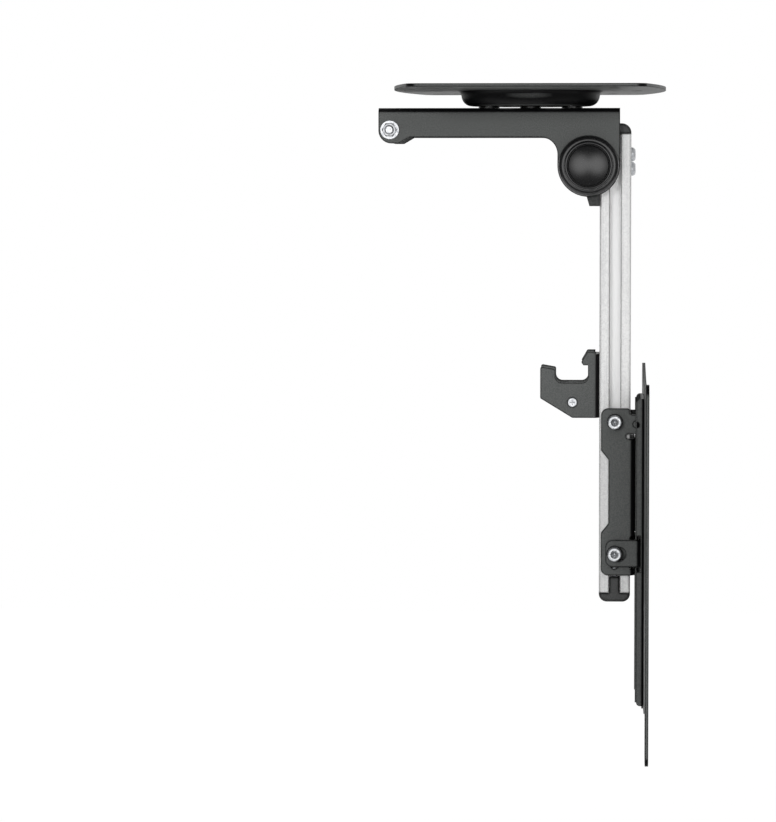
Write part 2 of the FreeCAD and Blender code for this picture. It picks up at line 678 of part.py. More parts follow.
def makeChannel():
    """Folded channel: a web under the ceiling plate and two flanges with rounded lobes."""
    body = newBody("support_channel")
    freeEnd = catchX - S["catchEndMargin"]
    hingeEnd = pivotX + S["hingeLobe"]
    lobeLeft = pivotX - S["hingeLobe"]
    lobeEnd = catchX + S["catchLobeReach"]
    lobeBottom = catchZ - S["catchLobeDrop"]
    sketch = newSketch(body, "XZ")
    outline(sketch, [(freeEnd, channelTop), (freeEnd, lobeBottom), (lobeEnd, lobeBottom),
                     (lobeEnd + S["catchLobeRun"], flangeBottom), (lobeLeft, flangeBottom),
                     (lobeLeft, pivotZ), (hingeEnd, pivotZ), (hingeEnd, channelTop)])
    pad(body, sketch, S["channelWidth"], symmetric=True)
    roundEdges(body, S["hingeCorner"], cornersAt([(lobeLeft, flangeBottom)]))
    roundEdges(body, S["catchLobeRound"], cornersAt([(freeEnd, lobeBottom)]))
    sketch = newSketch(body, "XZ")
    hole(sketch, pivotX, pivotZ, S["hingeLobe"])
    pad(body, sketch, S["channelWidth"], symmetric=True)
    sketch = newSketch(body, "YZ")
    rectangle(sketch, -flangeIn, flangeIn, pivotZ - S["hingeLobe"] * 2, webUnder)
    pocket(body, sketch, symmetric=True)
    roundEdges(body, S["bendInside"],
               cornersAt([(flangeIn, webUnder), (-flangeIn, webUnder)], "X"))
    roundEdges(body, S["channelSheet"] + S["bendInside"],
               cornersAt([(flangeOut, channelTop), (-flangeOut, channelTop)], "X"))
    sketch = newSketch(body, "XZ")
    hole(sketch, pivotX, pivotZ, S["pivotBoltRadius"])
    hole(sketch, catchX, catchZ, S["catchBoltRadius"])
    pocket(body, sketch, symmetric=True)
    sketch = newSketch(body, "XY")
    hole(sketch, 0, 0, S["swivelBoltRadius"])
    hole(sketch, -S["guideCircle"], 0, S["guideBoltRadius"])
    hole(sketch, S["guideCircle"], 0, S["guideBoltRadius"])
    pocket(body, sketch)


def makeSwivelParts():
    centre = [((0, 0, 0), "-Z")]
    pair = [((-S["guideCircle"], 0, 0), "-Z"), ((S["guideCircle"], 0, 0), "-Z")]
    for name, places, flats, radius, head, nut, washer in (
            ("swivel", centre, S["swivelFlats"], S["swivelBoltRadius"], S["swivelHeadHeight"],
             S["swivelNutHeight"], S["swivelWasherRadius"]),
            ("guide", pair, S["guideFlats"], S["guideBoltRadius"], S["guideHeadHeight"],
             S["guideNutHeight"], S["guideWasherRadius"])):
        floor = -cupInside
        seat = floor - S["cupWasherThickness"]
        nutFace = -webUnder
        tip = nutFace + nut + S["boltTip"]
        fastener(name + "_bolt", places, [("hex", flats, seat - head, head),
                                          ("rod", radius, seat - head, tip - seat + head)])
        fastener(name + "_washer", places, [("rod", washer, seat, S["cupWasherThickness"])],
                 [("rod", radius, seat, S["cupWasherThickness"])])
        fastener(name + "_spacer", places, [("rod", S["spacerRadius"], S["cupDepth"],
                                             S["spacerThickness"])],
                 [("rod", radius, S["cupDepth"], S["spacerThickness"])])
        fastener(name + "_nut", places, [("hex", flats, nutFace, nut)],
                 [("rod", radius, nutFace, nut)])


def makePivotParts():
    near_, far = ((pivotX, 0, pivotZ), "-Y"), ((pivotX, 0, pivotZ), "+Y")
    radius = S["pivotBoltRadius"]
    washer = S["pivotWasherThickness"]
    seat = flangeOut + washer
    shank = seat * 2 + S["pivotNutHeight"] + S["boltTip"]
    fastener("pivot_bolt", [near_], [("hex", S["pivotFlats"], seat, S["pivotHeadHeight"]),
                                     ("rod", radius, seat - shank, shank)])
    fastener("pivot_washer", [near_, far], [("rod", S["pivotWasherRadius"], flangeOut, washer)],
             [("rod", radius, flangeOut, washer)])
    fastener("pivot_nut", [far], [("hex", S["pivotFlats"], seat, S["pivotNutHeight"])],
             [("rod", radius, seat, S["pivotNutHeight"])])
    disc = S["frictionDiscThickness"]
    fastener("friction_disc", [near_, far], [("rod", S["frictionDiscRadius"], blockHalf, disc)],
             [("rod", radius, blockHalf, disc)])
    makeCover("pivot_cover_near", -1)
    makeCover("pivot_cover_far", 1)


def makeCover(label, side):
    """A moulded cover over the hinge bolt: two steps and a domed face inside a moat."""
    body = newBody(label, pivotX, pivotZ)
    sketch = newSketch(body, "XY")
    rim = S["coverRimHeight"]
    socket = (S["pivotWasherThickness"] + S["pivotNutHeight"] + S["boltTip"]
              + S["coverSocketGap"])
    top = socket + S["coverWall"]
    face = S["coverFaceRadius"]
    rise = S["coverFaceRise"]
    moat = S["coverMoat"]
    inside = S["coverSocketRadius"]
    dome = (face * face + rise * rise) / (rise * 2)
    profile = [(inside, ZERO), (S["coverRadius"], ZERO), (S["coverRadius"], rim),
               (S["coverStepRadius"], rim), (S["coverStepRadius"], top), (face + moat, top),
               (face + moat / 2, top - moat), (face, top - moat), (face, top),
               (ZERO, top + rise), (ZERO, socket), (inside, socket)]
    points = [(r, (flangeOut + y) * side) for r, y in profile]
    points[8] = points[8] + (dome, -side)
    outline(sketch, points)
    turn(body, sketch)

    def ring(radius, height):
        return lambda edge: (near(edge.BoundBox.XLength / 2, radius, 0.05)
                             and near(abs(edge.CenterOfMass.y), flangeOut + height))
    roundEdges(body, S["coverRound"] * 2, ring(S["coverRadius"], rim))
    roundEdges(body, S["coverRound"], ring(S["coverStepRadius"], top))


def makeCatchBolt():
    near_, far = ((catchX, 0, catchZ), "-Y"), ((catchX, 0, catchZ), "+Y")
    radius = S["catchBoltRadius"]
    washer = S["catchWasherThickness"]
    seat = flangeOut + washer
    shank = seat * 2 + S["catchNutHeight"] + S["boltTip"]
    fastener("catch_bolt", [far], [("hex", S["catchFlats"], seat, S["catchHeadHeight"]),
                                   ("rod", radius, seat - shank, shank)])
    fastener("catch_washer", [near_, far], [("rod", S["catchWasherRadius"], flangeOut, washer)],
             [("rod", radius, flangeOut, washer)])
    fastener("catch_nut", [near_], [("hex", S["catchFlats"], seat, S["catchNutHeight"])],
             [("rod", radius, seat, S["catchNutHeight"])])


def makeHingeBlock():
    """Barrel and foot outside the profile, with an insert in its hollow for the screws."""
    body = newBody("hinge_block")
    barrel = S["blockRadius"]
    footX = armLeft - S["blockFootThick"]
    footTop = armTop - S["blockFootGap"]
    footBottom = pivotZ - S["blockFootDrop"]
    inside = armRight - S["armWall"] - S["plugClearance"]
    insertTop = armTop - S["topPlugLength"] - S["plugClearance"]
    insertBottom = pivotZ - S["blockInsertDrop"]
    sketch = newSketch(body, "XZ")
    outline(sketch, [(armLeft, footTop), (armLeft, footBottom), (footX, footBottom),
                     (footX - S["blockFootLean"], pivotZ - barrel), (pivotX, pivotZ),
                     (footX, footTop)])
    pad(body, sketch, blockHalf * 2, symmetric=True)
    sketch = newSketch(body, "XZ")
    hole(sketch, pivotX, pivotZ, barrel)
    pad(body, sketch, blockHalf * 2, symmetric=True)
    sketch = newSketch(body, "XZ")
    rectangle(sketch, armLeft, armRight, pivotZ - barrel * 2, pivotZ + barrel * 2)
    pocket(body, sketch, symmetric=True)
    sketch = newSketch(body, "XZ")
    rectangle(sketch, armLeft - S["blockFootThick"] / 2, inside, insertBottom, insertTop)
    pad(body, sketch, (hollowHalf - S["plugClearance"]) * 2, symmetric=True)
    sketch = newSketch(body, "XZ")
    hole(sketch, pivotX, pivotZ, S["pivotBoltRadius"] + turning)
    pocket(body, sketch, symmetric=True)
    sketch = newSketch(body, "YZ", inside)
    for z in blockScrewZ:
        hole(sketch, 0, z, S["blockScrewRadius"])
    pocket(body, sketch, S["blockScrewLength"] + S["blockDrillPast"])


def makeArmProfile():
    """Hollow aluminium profile with a nut groove in each side."""
    body = newBody("arm_profile")
    sketch = newSketch(body, "XY", armBottom)
    mouth = S["grooveWidth"] / 2
    wide = S["grooveNutWidth"] / 2
    lip = armHalf - S["grooveLip"]
    floor = armHalf - S["grooveDepth"]
    side = [(armMiddle - mouth, armHalf), (armMiddle - mouth, lip), (armMiddle - wide, lip),
            (armMiddle - wide, floor), (armMiddle + wide, floor), (armMiddle + wide, lip),
            (armMiddle + mouth, lip), (armMiddle + mouth, armHalf)]
    points = [(armLeft, -armHalf)] + [(x, -y) for x, y in side]
    points += [(armRight, -armHalf), (armRight, armHalf)] + side[::-1] + [(armLeft, armHalf)]
    outline(sketch, points)
    hollowLeft = armLeft + S["armWall"]
    rectangle(sketch, hollowLeft, armRight - S["armWall"], -hollowHalf, hollowHalf)
    pad(body, sketch, armTop - armBottom)
    corners = [(x, y) for x in (armLeft, armRight) for y in (-armHalf, armHalf)]
    roundEdges(body, S["armCorner"], cornersAt(corners, "Z"))
    wall = S["armWall"]
    sketch = newSketch(body, "YZ", hollowLeft)
    rectangle(sketch, -hollowHalf, hollowHalf,
              pivotZ - S["blockInsertDrop"] - S["plugClearance"], armTop + wall)
    for z in hookRivetZ:
        hole(sketch, 0, z, S["rivetRadius"])
    pocket(body, sketch, wall * 2)
    sketch = newSketch(body, "YZ", armRight)
    for z in blockScrewZ:
        hole(sketch, 0, z, S["blockScrewRadius"])
    pocket(body, sketch, wall * 2)


def makeCaps():
    gap = S["plugClearance"]
    plugLeft = armLeft + S["armWall"] + gap
    plugRight = armRight - S["armWall"] - gap
    plugHalf = hollowHalf - gap
    for label, end, height, plug, corner, way in (
            ("arm_top_cap", armTop, S["topCapHeight"], S["topPlugLength"],
             S["topCapRound"], 1),
            ("arm_bottom_cap", armBottom, S["bottomCapHeight"], S["bottomPlugLength"],
             S["bottomCapRound"], -1)):
        body = newBody(label)
        outer = end + height * way
        sketch = newSketch(body, "XZ")
        rectangle(sketch, armLeft, armRight, end, outer)
        pad(body, sketch, S["armWidth"], symmetric=True)
        roundEdges(body, corner, cornersAt([(armLeft, outer), (armRight, outer)]))
        roundEdges(body, S["armCorner"], cornersAt(
            [(x, y) for x in (armLeft, armRight) for y in (-armHalf, armHalf)], "Z"))
        sketch = newSketch(body, "XZ")
        rectangle(sketch, plugLeft, plugRight, end - plug * way, end)
        pad(body, sketch, plugHalf * 2, symmetric=True)
        if way < 0:
            makeTongues(body)


def makeTongues(body):
    """Two tongues of the lower cap that fill the mouths of the side grooves."""
    gap = S["plugClearance"]
    half = S["grooveWidth"] / 2 - gap
    sketch = newSketch(body, "XY", armBottom)
    for side in (1, -1):
        rectangle(sketch, armMiddle - half, armMiddle + half,
                  (armHalf - S["grooveLip"]) * side, armHalf * side)
    pad(body, sketch, S["tongueLength"])


def makeBlockScrews():
    places = [((armRight, 0, z), "+X") for z in blockScrewZ]
    length = S["armWall"] + S["plugClearance"] + S["blockScrewLength"]
    head = S["domeHeight"]
    fastener("block_screws", places, [("dome", S["domeRadius"], ZERO, head),
                                      ("rod", S["blockScrewRadius"], -length, length + head / 2)])


def makeStopScrews():
    """Short screws in the side grooves, over the lower cap's tongues, that end the slide."""
    z = armBottom + S["tongueLength"] + S["stopGap"] + S["stopRadius"]
    floor = armHalf - S["grooveDepth"]
    height = S["stopHeight"]
    fastener("stop_screws", [((armMiddle, 0, z), "-Y"), ((armMiddle, 0, z), "+Y")],
             [("rod", S["stopRadius"], floor, height)],
             [("hex", S["stopSocketFlats"], floor + height - S["stopSocketDepth"], height)])


def makeHook():
    """Folded bracket with two hooked cheeks that open towards the hinge."""
    body = newBody("catch_hook")

    def off(reach):
        return armLeft - reach
    slotNear = off(S["hookSlotNear"])
    slotFar = slotNear - S["hookSlotWidth"]
    slotFloor = hookTop - S["hookSlotDrop"]
    barbUnder = hookTop - S["barbUnderDrop"]
    prong = caughtZ - S["catchBoltRadius"] - S["prongClearance"]
    bottom = hookTop - S["hookHeight"]
    points = [(armLeft, hookTop), (off(S["barbTopReach"]), hookTop),
              (off(S["barbReach"]), hookTop - S["barbPointDrop"]),
              (off(S["barbReach"] - S["barbFlat"]), barbUnder), (slotNear, barbUnder),
              (slotNear, slotFloor), (slotFar, slotFloor), (slotFar, prong),
              (off(S["hookReach"]), prong + S["prongSlope"]),
              (off(S["hookReach"]), hookTop - S["hookSideDrop"]),
              (off(S["hookFootReach"]), bottom), (armLeft, bottom)]
    sketch = newSketch(body, "XZ")
    outline(sketch, points)
    pad(body, sketch, S["hookWidth"], symmetric=True)
    roundEdges(body, S["hookSlotRound"], cornersAt([points[5], points[6]]))
    roundEdges(body, S["hookCorner"], cornersAt([points[i] for i in (1, 2, 7, 8, 9, 10)]))
    sketch = newSketch(body, "XY")
    rectangle(sketch, off(S["hookReach"] * 2), hookWeb, -hookIn, hookIn)
    pocket(body, sketch, symmetric=True)
    roundEdges(body, S["bendInside"], cornersAt([(hookWeb, hookIn), (hookWeb, -hookIn)], "Z"))
    roundEdges(body, S["hookSheet"] + S["bendInside"],
               cornersAt([(armLeft, hookOut), (armLeft, -hookOut)], "Z"))
    sketch = newSketch(body, "XZ")
    rectangle(sketch, off(S["hookReliefReach"]), armLeft, hookTop - S["hookReliefDrop"],
              hookTop + S["hookReliefDrop"])
    pocket(body, sketch, symmetric=True)
    sketch = newSketch(body, "XZ")
    pinX = off(S["hookPinReach"])
    pinZ = hookTop - S["hookPinDrop"]
    hole(sketch, pinX, pinZ, S["hookPinRadius"])
    pocket(body, sketch, symmetric=True)
    sketch = newSketch(body, "YZ", armLeft)
    for z in hookRivetZ:
        hole(sketch, 0, z, S["rivetRadius"])
    pocket(body, sketch, S["hookSheet"] * 2)
    end = hookOut + S["hookPinProud"]
    fastener("hook_pin", [((pinX, 0, pinZ), "+Y")], [("rod", S["hookPinRadius"], -end, end * 2)])
    grip = S["hookSheet"] + S["armWall"]
    head = S["rivetHeadHeight"]
    bulb = S["rivetBulbLength"]
    fastener("hook_rivets", [((hookWeb, 0, z), "-X") for z in hookRivetZ],
             [("dome", S["rivetHeadRadius"], ZERO, head),
              ("rod", S["rivetRadius"], -grip, grip + head / 2),
              ("rod", S["rivetBulbRadius"], -grip - bulb, bulb)])


def makeBracket():
    """Folded bracket that slides on the arm, with a hinge tab at each side."""
    body = newBody("arm_bracket")
    left = armLeft + S["bracketSetback"]
    waist = left + S["waistDepth"]
    top = upperBoltZ + S["bracketAbove"]
    bottom = lowerBoltZ - S["bracketBelow"]
    waistTop = upperBoltZ - S["waistUpperGap"]
    waistBottom = lowerBoltZ + S["waistLowerGap"]
    slope = S["waistSlope"]
    shoulder = armRight - S["shoulderSetback"]
    tabX = spineX - S["tabGap"]
    tabTop = tiltZ + S["tabHeight"] / 2
    tabBottom = tiltZ - S["tabHeight"] / 2
    relief = S["bendRelief"]
    points = [(left, top), (shoulder, top), (shoulder, tabTop), (tabX, tabTop),
              (tabX, tabBottom), (bracketRight, tabBottom), (bracketRight, bottom),
              (left, bottom), (left, waistBottom), (waist, waistBottom + slope),
              (waist, waistTop - slope), (left, waistTop)]
    sketch = newSketch(body, "XZ")
    outline(sketch, points)
    pad(body, sketch, cheekOut * 2, symmetric=True)
    roundEdges(body, S["bracketCorner"], cornersAt([points[0], points[7]]))
    roundEdges(body, S["tabCorner"], cornersAt([points[3], points[4]]))
    roundEdges(body, S["bracketSmallCorner"], cornersAt([points[i] for i in (1, 2, 8, 11)]))
    sketch = newSketch(body, "XY")
    rectangle(sketch, left - S["bracketSheet"], webInside, -armHalf, armHalf)
    pocket(body, sketch, symmetric=True)
    sketch = newSketch(body, "YZ")
    rectangle(sketch, -armHalf, armHalf, tabBottom - relief * 2, top + relief)
    pocket(body, sketch, symmetric=True)
    sketch = newSketch(body, "XZ")
    slot(sketch, bracketRight - S["bendReliefDepth"], tabBottom - relief,
         tabX + relief, tabBottom - relief, relief)
    pocket(body, sketch, symmetric=True)
    roundEdges(body, S["bendInside"],
               cornersAt([(webInside, armHalf), (webInside, -armHalf)], "Z"))
    roundEdges(body, S["bracketSheet"] + S["bendInside"],
               cornersAt([(bracketRight, cheekOut), (bracketRight, -cheekOut)], "Z"))
    sketch = newSketch(body, "XZ")
    clear = S["yokeClearZ"]
    rectangle(sketch, armRight, spineX, yokeBottom - clear, yokeTop + clear)
    pocket(body, sketch, symmetric=True)
    sketch = newSketch(body, "XZ")
    hole(sketch, armMiddle, upperBoltZ, S["clampBoltRadius"])
    hole(sketch, armMiddle, lowerBoltZ, S["clampBoltRadius"])
    hole(sketch, armMiddle, lowerBoltZ - S["accessHoleDrop"], S["accessHoleRadius"])
    hole(sketch, tiltX, tiltZ, S["tiltPinRadius"])
    pocket(body, sketch, symmetric=True)


def makeClamps():
    """Cap screws, washers and groove nuts at both sides of the arm."""
    washer = S["clampWasherThickness"]
    radius = S["clampBoltRadius"]
    nutFace = armHalf - S["grooveLip"]
    nutEnd = nutFace - S["grooveNutHeight"]
    for label, z, seat in (("upper_bolts", upperBoltZ, cheekOut + washer),
                           ("lower_bolts", lowerBoltZ, yokeOut + washer)):
        places = [((armMiddle, 0, z), "-Y"), ((armMiddle, 0, z), "+Y")]
        head = S["clampHeadHeight"]
        fastener(label, places, [("rod", radius, nutEnd, seat - nutEnd + washer),
                                 ("rod", S["clampHeadRadius"], seat, head)],
                 [("hex", S["clampSocketFlats"], seat + head - S["clampSocketDepth"], head)])
        fastener(label.split("_")[0] + "_washers", places,
                 [("rod", S["clampWasherRadius"], seat - washer, washer)],
                 [("rod", radius, seat - washer, washer)])
    sleeve = S["tiltSlotRadius"] - S["tiltSleeveClearance"]
    places = [((armMiddle, 0, lowerBoltZ), way) for way in ("-Y", "+Y")]
    fastener("tilt_sleeves", places, [("rod", sleeve, cheekOut, S["yokeSheet"])],
             [("rod", radius, cheekOut, S["yokeSheet"])])
    nuts = []
    gap = S["grooveNutClearance"]
    for z in (upperBoltZ, lowerBoltZ):
        for side in (1, -1):
            body = newBody("groove_nut_%d" % (len(nuts) + 1))
            sketch = newSketch(body, "XZ", nutEnd * side)
            half = S["grooveNutWidth"] / 2 - gap
            rectangle(sketch, armMiddle - half, armMiddle + half,
                      z - S["grooveNutLength"] / 2, z + S["grooveNutLength"] / 2)
            hole(sketch, armMiddle, z, radius)
            pad(body, sketch, S["grooveNutHeight"], back=side < 0)
            nuts.append(body)
    group = doc.addObject("Part::Compound", "groove_nuts")
    group.Links = nuts
    group.Label = "groove_nuts"
    doc.recompute()
    head = S["tiltPinHeadHeight"]
    end = cheekOut + head
    fastener("tilt_pin", [((tiltX, 0, tiltZ), "+Y")],
             [("rod", S["tiltPinRadius"], -end, end * 2),
              ("rod", S["tiltPinHeadRadius"], cheekOut, head),
              ("rod", S["tiltPinHeadRadius"], -end, head)])


def makeSpine():
    """Shallow folded channel behind the screen plate, with two hinge ears."""
    body = newBody("screen_spine")
    sheetOf = S["spineSheet"]
    half = S["spineWidth"] / 2
    top = tiltZ + S["spineAbove"]
    bottom = top - S["spineLength"]
    ear = S["earRadius"]
    earIn = S["earSpan"] / 2 - sheetOf
    sketch = newSketch(body, "YZ", lipX)
    rectangle(sketch, -half, half, bottom, top)
    pad(body, sketch, S["spineDepth"])
    roundEdges(body, S["spineCorner"], cornersAt([(lipX, bottom), (lipX, top)]))
    sketch = newSketch(body, "YZ", spineX)
    rectangle(sketch, -lipIn, lipIn, bottom - sheetOf, top + sheetOf)
    pocket(body, sketch, S["spineDepth"])
    roundEdges(body, sheetOf, cornersAt([(screenX, half), (screenX, -half)], "Z"))
    sketch = newSketch(body, "XZ")
    clear = S["yokeWindowClear"]
    rectangle(sketch, lipX - sheetOf, spineX, yokeBottom - clear, yokeTop + clear)
    pocket(body, sketch, symmetric=True)
    sketch = newSketch(body, "XZ")
    rectangle(sketch, tiltX, spineX + sheetOf / 2, tiltZ - ear, tiltZ + ear)
    pad(body, sketch, S["earSpan"], symmetric=True)
    sketch = newSketch(body, "XZ")
    hole(sketch, tiltX, tiltZ, ear)
    pad(body, sketch, S["earSpan"], symmetric=True)
    sketch = newSketch(body, "YZ", spineX)
    rectangle(sketch, -earIn, earIn, tiltZ - ear * 2, tiltZ + ear * 2)
    pocket(body, sketch, spineX - armLeft)
    sketch = newSketch(body, "XZ")
    hole(sketch, tiltX, tiltZ, S["tiltPinRadius"] + turning)
    pocket(body, sketch, symmetric=True)
    sketch = newSketch(body, "YZ", screenX)
    for y, z in plateRivets:
        hole(sketch, y, z, S["plateRivetRadius"])
    pocket(body, sketch, sheetOf * 2)


def makeYoke():
    """Folded yoke on the spine whose ears hold the tilt slots."""
    body = newBody("tilt_yoke")
    web = spineX - S["yokeSheet"]
    earEnd = armMiddle - S["tiltSlotRadius"] - S["yokeEndWall"]
    sketch = newSketch(body, "XY", yokeBottom)
    outline(sketch, [(earEnd, -yokeOut), (spineX, -yokeOut), (spineX, yokeOut),
                     (earEnd, yokeOut), (earEnd, cheekOut), (web, cheekOut),
                     (web, -cheekOut), (earEnd, -cheekOut)])
    pad(body, sketch, yokeTop - yokeBottom)
    roundEdges(body, S["yokeCorner"], cornersAt([(earEnd, yokeTop), (earEnd, yokeBottom)]))
    roundEdges(body, S["bendInside"], cornersAt([(web, cheekOut), (web, -cheekOut)], "Z"))
    roundEdges(body, S["yokeSheet"] + S["bendInside"],
               cornersAt([(spineX, yokeOut), (spineX, -yokeOut)], "Z"))
    # The slot follows the lower bolt's path about the tilt hinge.
    run = S["tiltRun"]
    fall = tiltZ - lowerBoltZ
    drop = run * (tiltX - armMiddle) / fall - run * run / (fall * 2)
    sketch = newSketch(body, "XZ")
    slot(sketch, armMiddle, lowerBoltZ, armMiddle + run, lowerBoltZ - drop,
         S["tiltSlotRadius"])
    pocket(body, sketch, symmetric=True)


def makeScreenPlate():
    """Sheet with a sagging upper edge, two legs and three square hole patterns."""
    body = newBody("screen_plate")
    half = S["screenWidth"] / 2
    inner = half - S["legWidth"]
    dip = S["screenDip"]
    belly = S["screenBelly"]
    topRadius = (half * half + dip * dip) / (dip * 2)
    lowRadius = (inner * inner + belly * belly) / (belly * 2)
    top = patternZ + S["screenAbove"]
    bottom = patternZ - S["screenBelow"]
    root = patternZ - S["legRoot"]
    points = [(-half, bottom), (-inner, bottom), (-inner, root, lowRadius, -1), (inner, root),
              (inner, bottom), (half, bottom), (half, top, topRadius, 1), (-half, top)]
    sketch = newSketch(body, "YZ", screenX)
    outline(sketch, points)
    pad(body, sketch, S["screenSheet"])
    corners = [points[i][:2] for i in (0, 1, 4, 5, 6, 7)]
    roundEdges(body, S["screenCorner"], cornersAt(corners, "X"))
    roundEdges(body, S["legCorner"], cornersAt([points[2][:2], points[3][:2]], "X"))
    sketch = newSketch(body, "YZ", screenFront)
    for size, radius in ((S["patternLarge"], S["patternLargeRadius"]),
                         (S["patternMedium"], S["patternSmallRadius"]),
                         (S["patternSmall"], S["patternSmallRadius"])):
        for y in (-size / 2, size / 2):
            for z in (patternZ - size / 2, patternZ + size / 2):
                hole(sketch, y, z, radius)
    for y, z in plateRivets:
        hole(sketch, y, z, S["plateRivetRadius"])
    pocket(body, sketch)
    grip = S["spineSheet"] + S["screenSheet"]
    head = S["plateRivetHeadHeight"]
    fastener("spine_rivets", [((spineX, y, z), "-X") for y, z in plateRivets],
             [("dome", S["plateRivetHeadRadius"], ZERO, head),
              ("rod", S["plateRivetRadius"], -grip, grip + head / 2)])


makeCeilingPlate()
makeChannel()
makeSwivelParts()
makePivotParts()
makeCatchBolt()
makeHingeBlock()
makeArmProfile()
makeCaps()
makeBlockScrews()
makeStopScrews()
makeHook()
makeBracket()
makeClamps()
makeSpine()
makeYoke()
makeScreenPlate()

NODES = [
    "ceiling_plate", "support_channel", "swivel_bolt", "swivel_washer", "swivel_spacer",
    "swivel_nut", "guide_bolt", "guide_washer", "guide_spacer", "guide_nut", "pivot_bolt",
    "pivot_washer", "pivot_nut", "friction_disc", "pivot_cover_near", "pivot_cover_far",
    "catch_bolt", "catch_washer", "catch_nut", "hinge_block", "arm_profile", "arm_top_cap",
    "arm_bottom_cap", "block_screws", "stop_screws", "catch_hook", "hook_pin", "hook_rivets",
    "arm_bracket", "upper_bolts", "lower_bolts", "upper_washers", "lower_washers",
    "tilt_sleeves", "groove_nuts", "tilt_pin", "screen_spine", "tilt_yoke", "screen_plate",
    "spine_rivets",
]

doc.recompute()
for item in doc.Objects:
    if "Invalid" in item.State or "Error" in item.State:
        raise RuntimeError("%s failed: %s" % (item.Label, item.State))
os.makedirs("parts", exist_ok=True)
for node in NODES:
    item = doc.getObjectsByLabel(node)[0]
    if item.Shape.isNull() or not item.Shape.isValid() or not item.Shape.Solids:
        raise RuntimeError(node + " has no valid solid")
    item.Shape.exportStep("parts/%s.step" % node)
    box = item.Shape.BoundBox
    print("%-18s %d solid(s) %9.1f mm3  X %.1f %.1f  Y %.1f %.1f  Z %.1f %.1f" % (
        node, len(item.Shape.Solids), item.Shape.Volume, box.XMin, box.XMax,
        box.YMin, box.YMax, box.ZMin, box.ZMax))
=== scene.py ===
import json
import math

import bmesh
import bpy
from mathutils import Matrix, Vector


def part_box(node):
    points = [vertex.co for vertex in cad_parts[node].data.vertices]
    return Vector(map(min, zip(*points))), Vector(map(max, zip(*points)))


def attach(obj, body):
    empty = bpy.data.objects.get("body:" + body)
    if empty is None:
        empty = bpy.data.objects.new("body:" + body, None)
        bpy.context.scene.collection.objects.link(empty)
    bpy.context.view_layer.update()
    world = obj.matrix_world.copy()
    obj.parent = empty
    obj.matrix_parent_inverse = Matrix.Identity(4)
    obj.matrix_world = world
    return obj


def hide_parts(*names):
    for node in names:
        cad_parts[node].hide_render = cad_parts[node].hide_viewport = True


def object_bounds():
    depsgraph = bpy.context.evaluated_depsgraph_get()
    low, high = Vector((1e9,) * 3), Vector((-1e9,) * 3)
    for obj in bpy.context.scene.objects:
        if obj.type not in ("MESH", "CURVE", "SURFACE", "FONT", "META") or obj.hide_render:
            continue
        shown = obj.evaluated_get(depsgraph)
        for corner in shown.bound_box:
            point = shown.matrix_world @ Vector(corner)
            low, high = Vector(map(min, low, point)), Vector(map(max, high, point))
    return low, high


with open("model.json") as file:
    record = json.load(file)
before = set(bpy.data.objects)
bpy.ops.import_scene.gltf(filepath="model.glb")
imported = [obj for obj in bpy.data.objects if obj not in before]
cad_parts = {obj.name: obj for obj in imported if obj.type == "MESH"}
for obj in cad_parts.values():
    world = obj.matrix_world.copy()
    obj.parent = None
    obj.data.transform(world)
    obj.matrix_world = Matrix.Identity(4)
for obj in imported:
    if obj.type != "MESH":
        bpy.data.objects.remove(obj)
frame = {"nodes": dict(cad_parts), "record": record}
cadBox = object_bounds()
slotOf = {part["node"]: part["material_slot"] for part in frame["record"]["subparts"]}
bodyOf = {node: body for body, members in frame["record"]["behaviour"]["bodies"].items()
          for node in members}
print("frame loaded:", len(frame["nodes"]), "nodes")


class Wire:  # one socket, so that masks can be written as plain sums
    def __init__(self, kit, socket):
        self.kit = kit
        self.socket = socket

    def maths(self, operation, first, second=0.0):
        return self.kit.node("Math", {"operation": operation}, {0: first, 1: second})

    def __add__(self, other):
        return self.maths("ADD", self, other)

    def __sub__(self, other):
        return self.maths("SUBTRACT", self, other)

    def __rsub__(self, other):
        return self.maths("SUBTRACT", other, self)

    def __mul__(self, other):
        return self.maths("MULTIPLY", self, other)

    def __gt__(self, other):  # 1 where this one is the larger
        return self.maths("GREATER_THAN", self, other)

    def __abs__(self):
        return self.maths("ABSOLUTE", self)

    __radd__ = __add__
    __rmul__ = __mul__

    def larger(self, other):  # the larger of the two
        return self.maths("MAXIMUM", self, other)

    def output(self, name):  # another output of the same node
        return Wire(self.kit, self.socket.node.outputs[name])


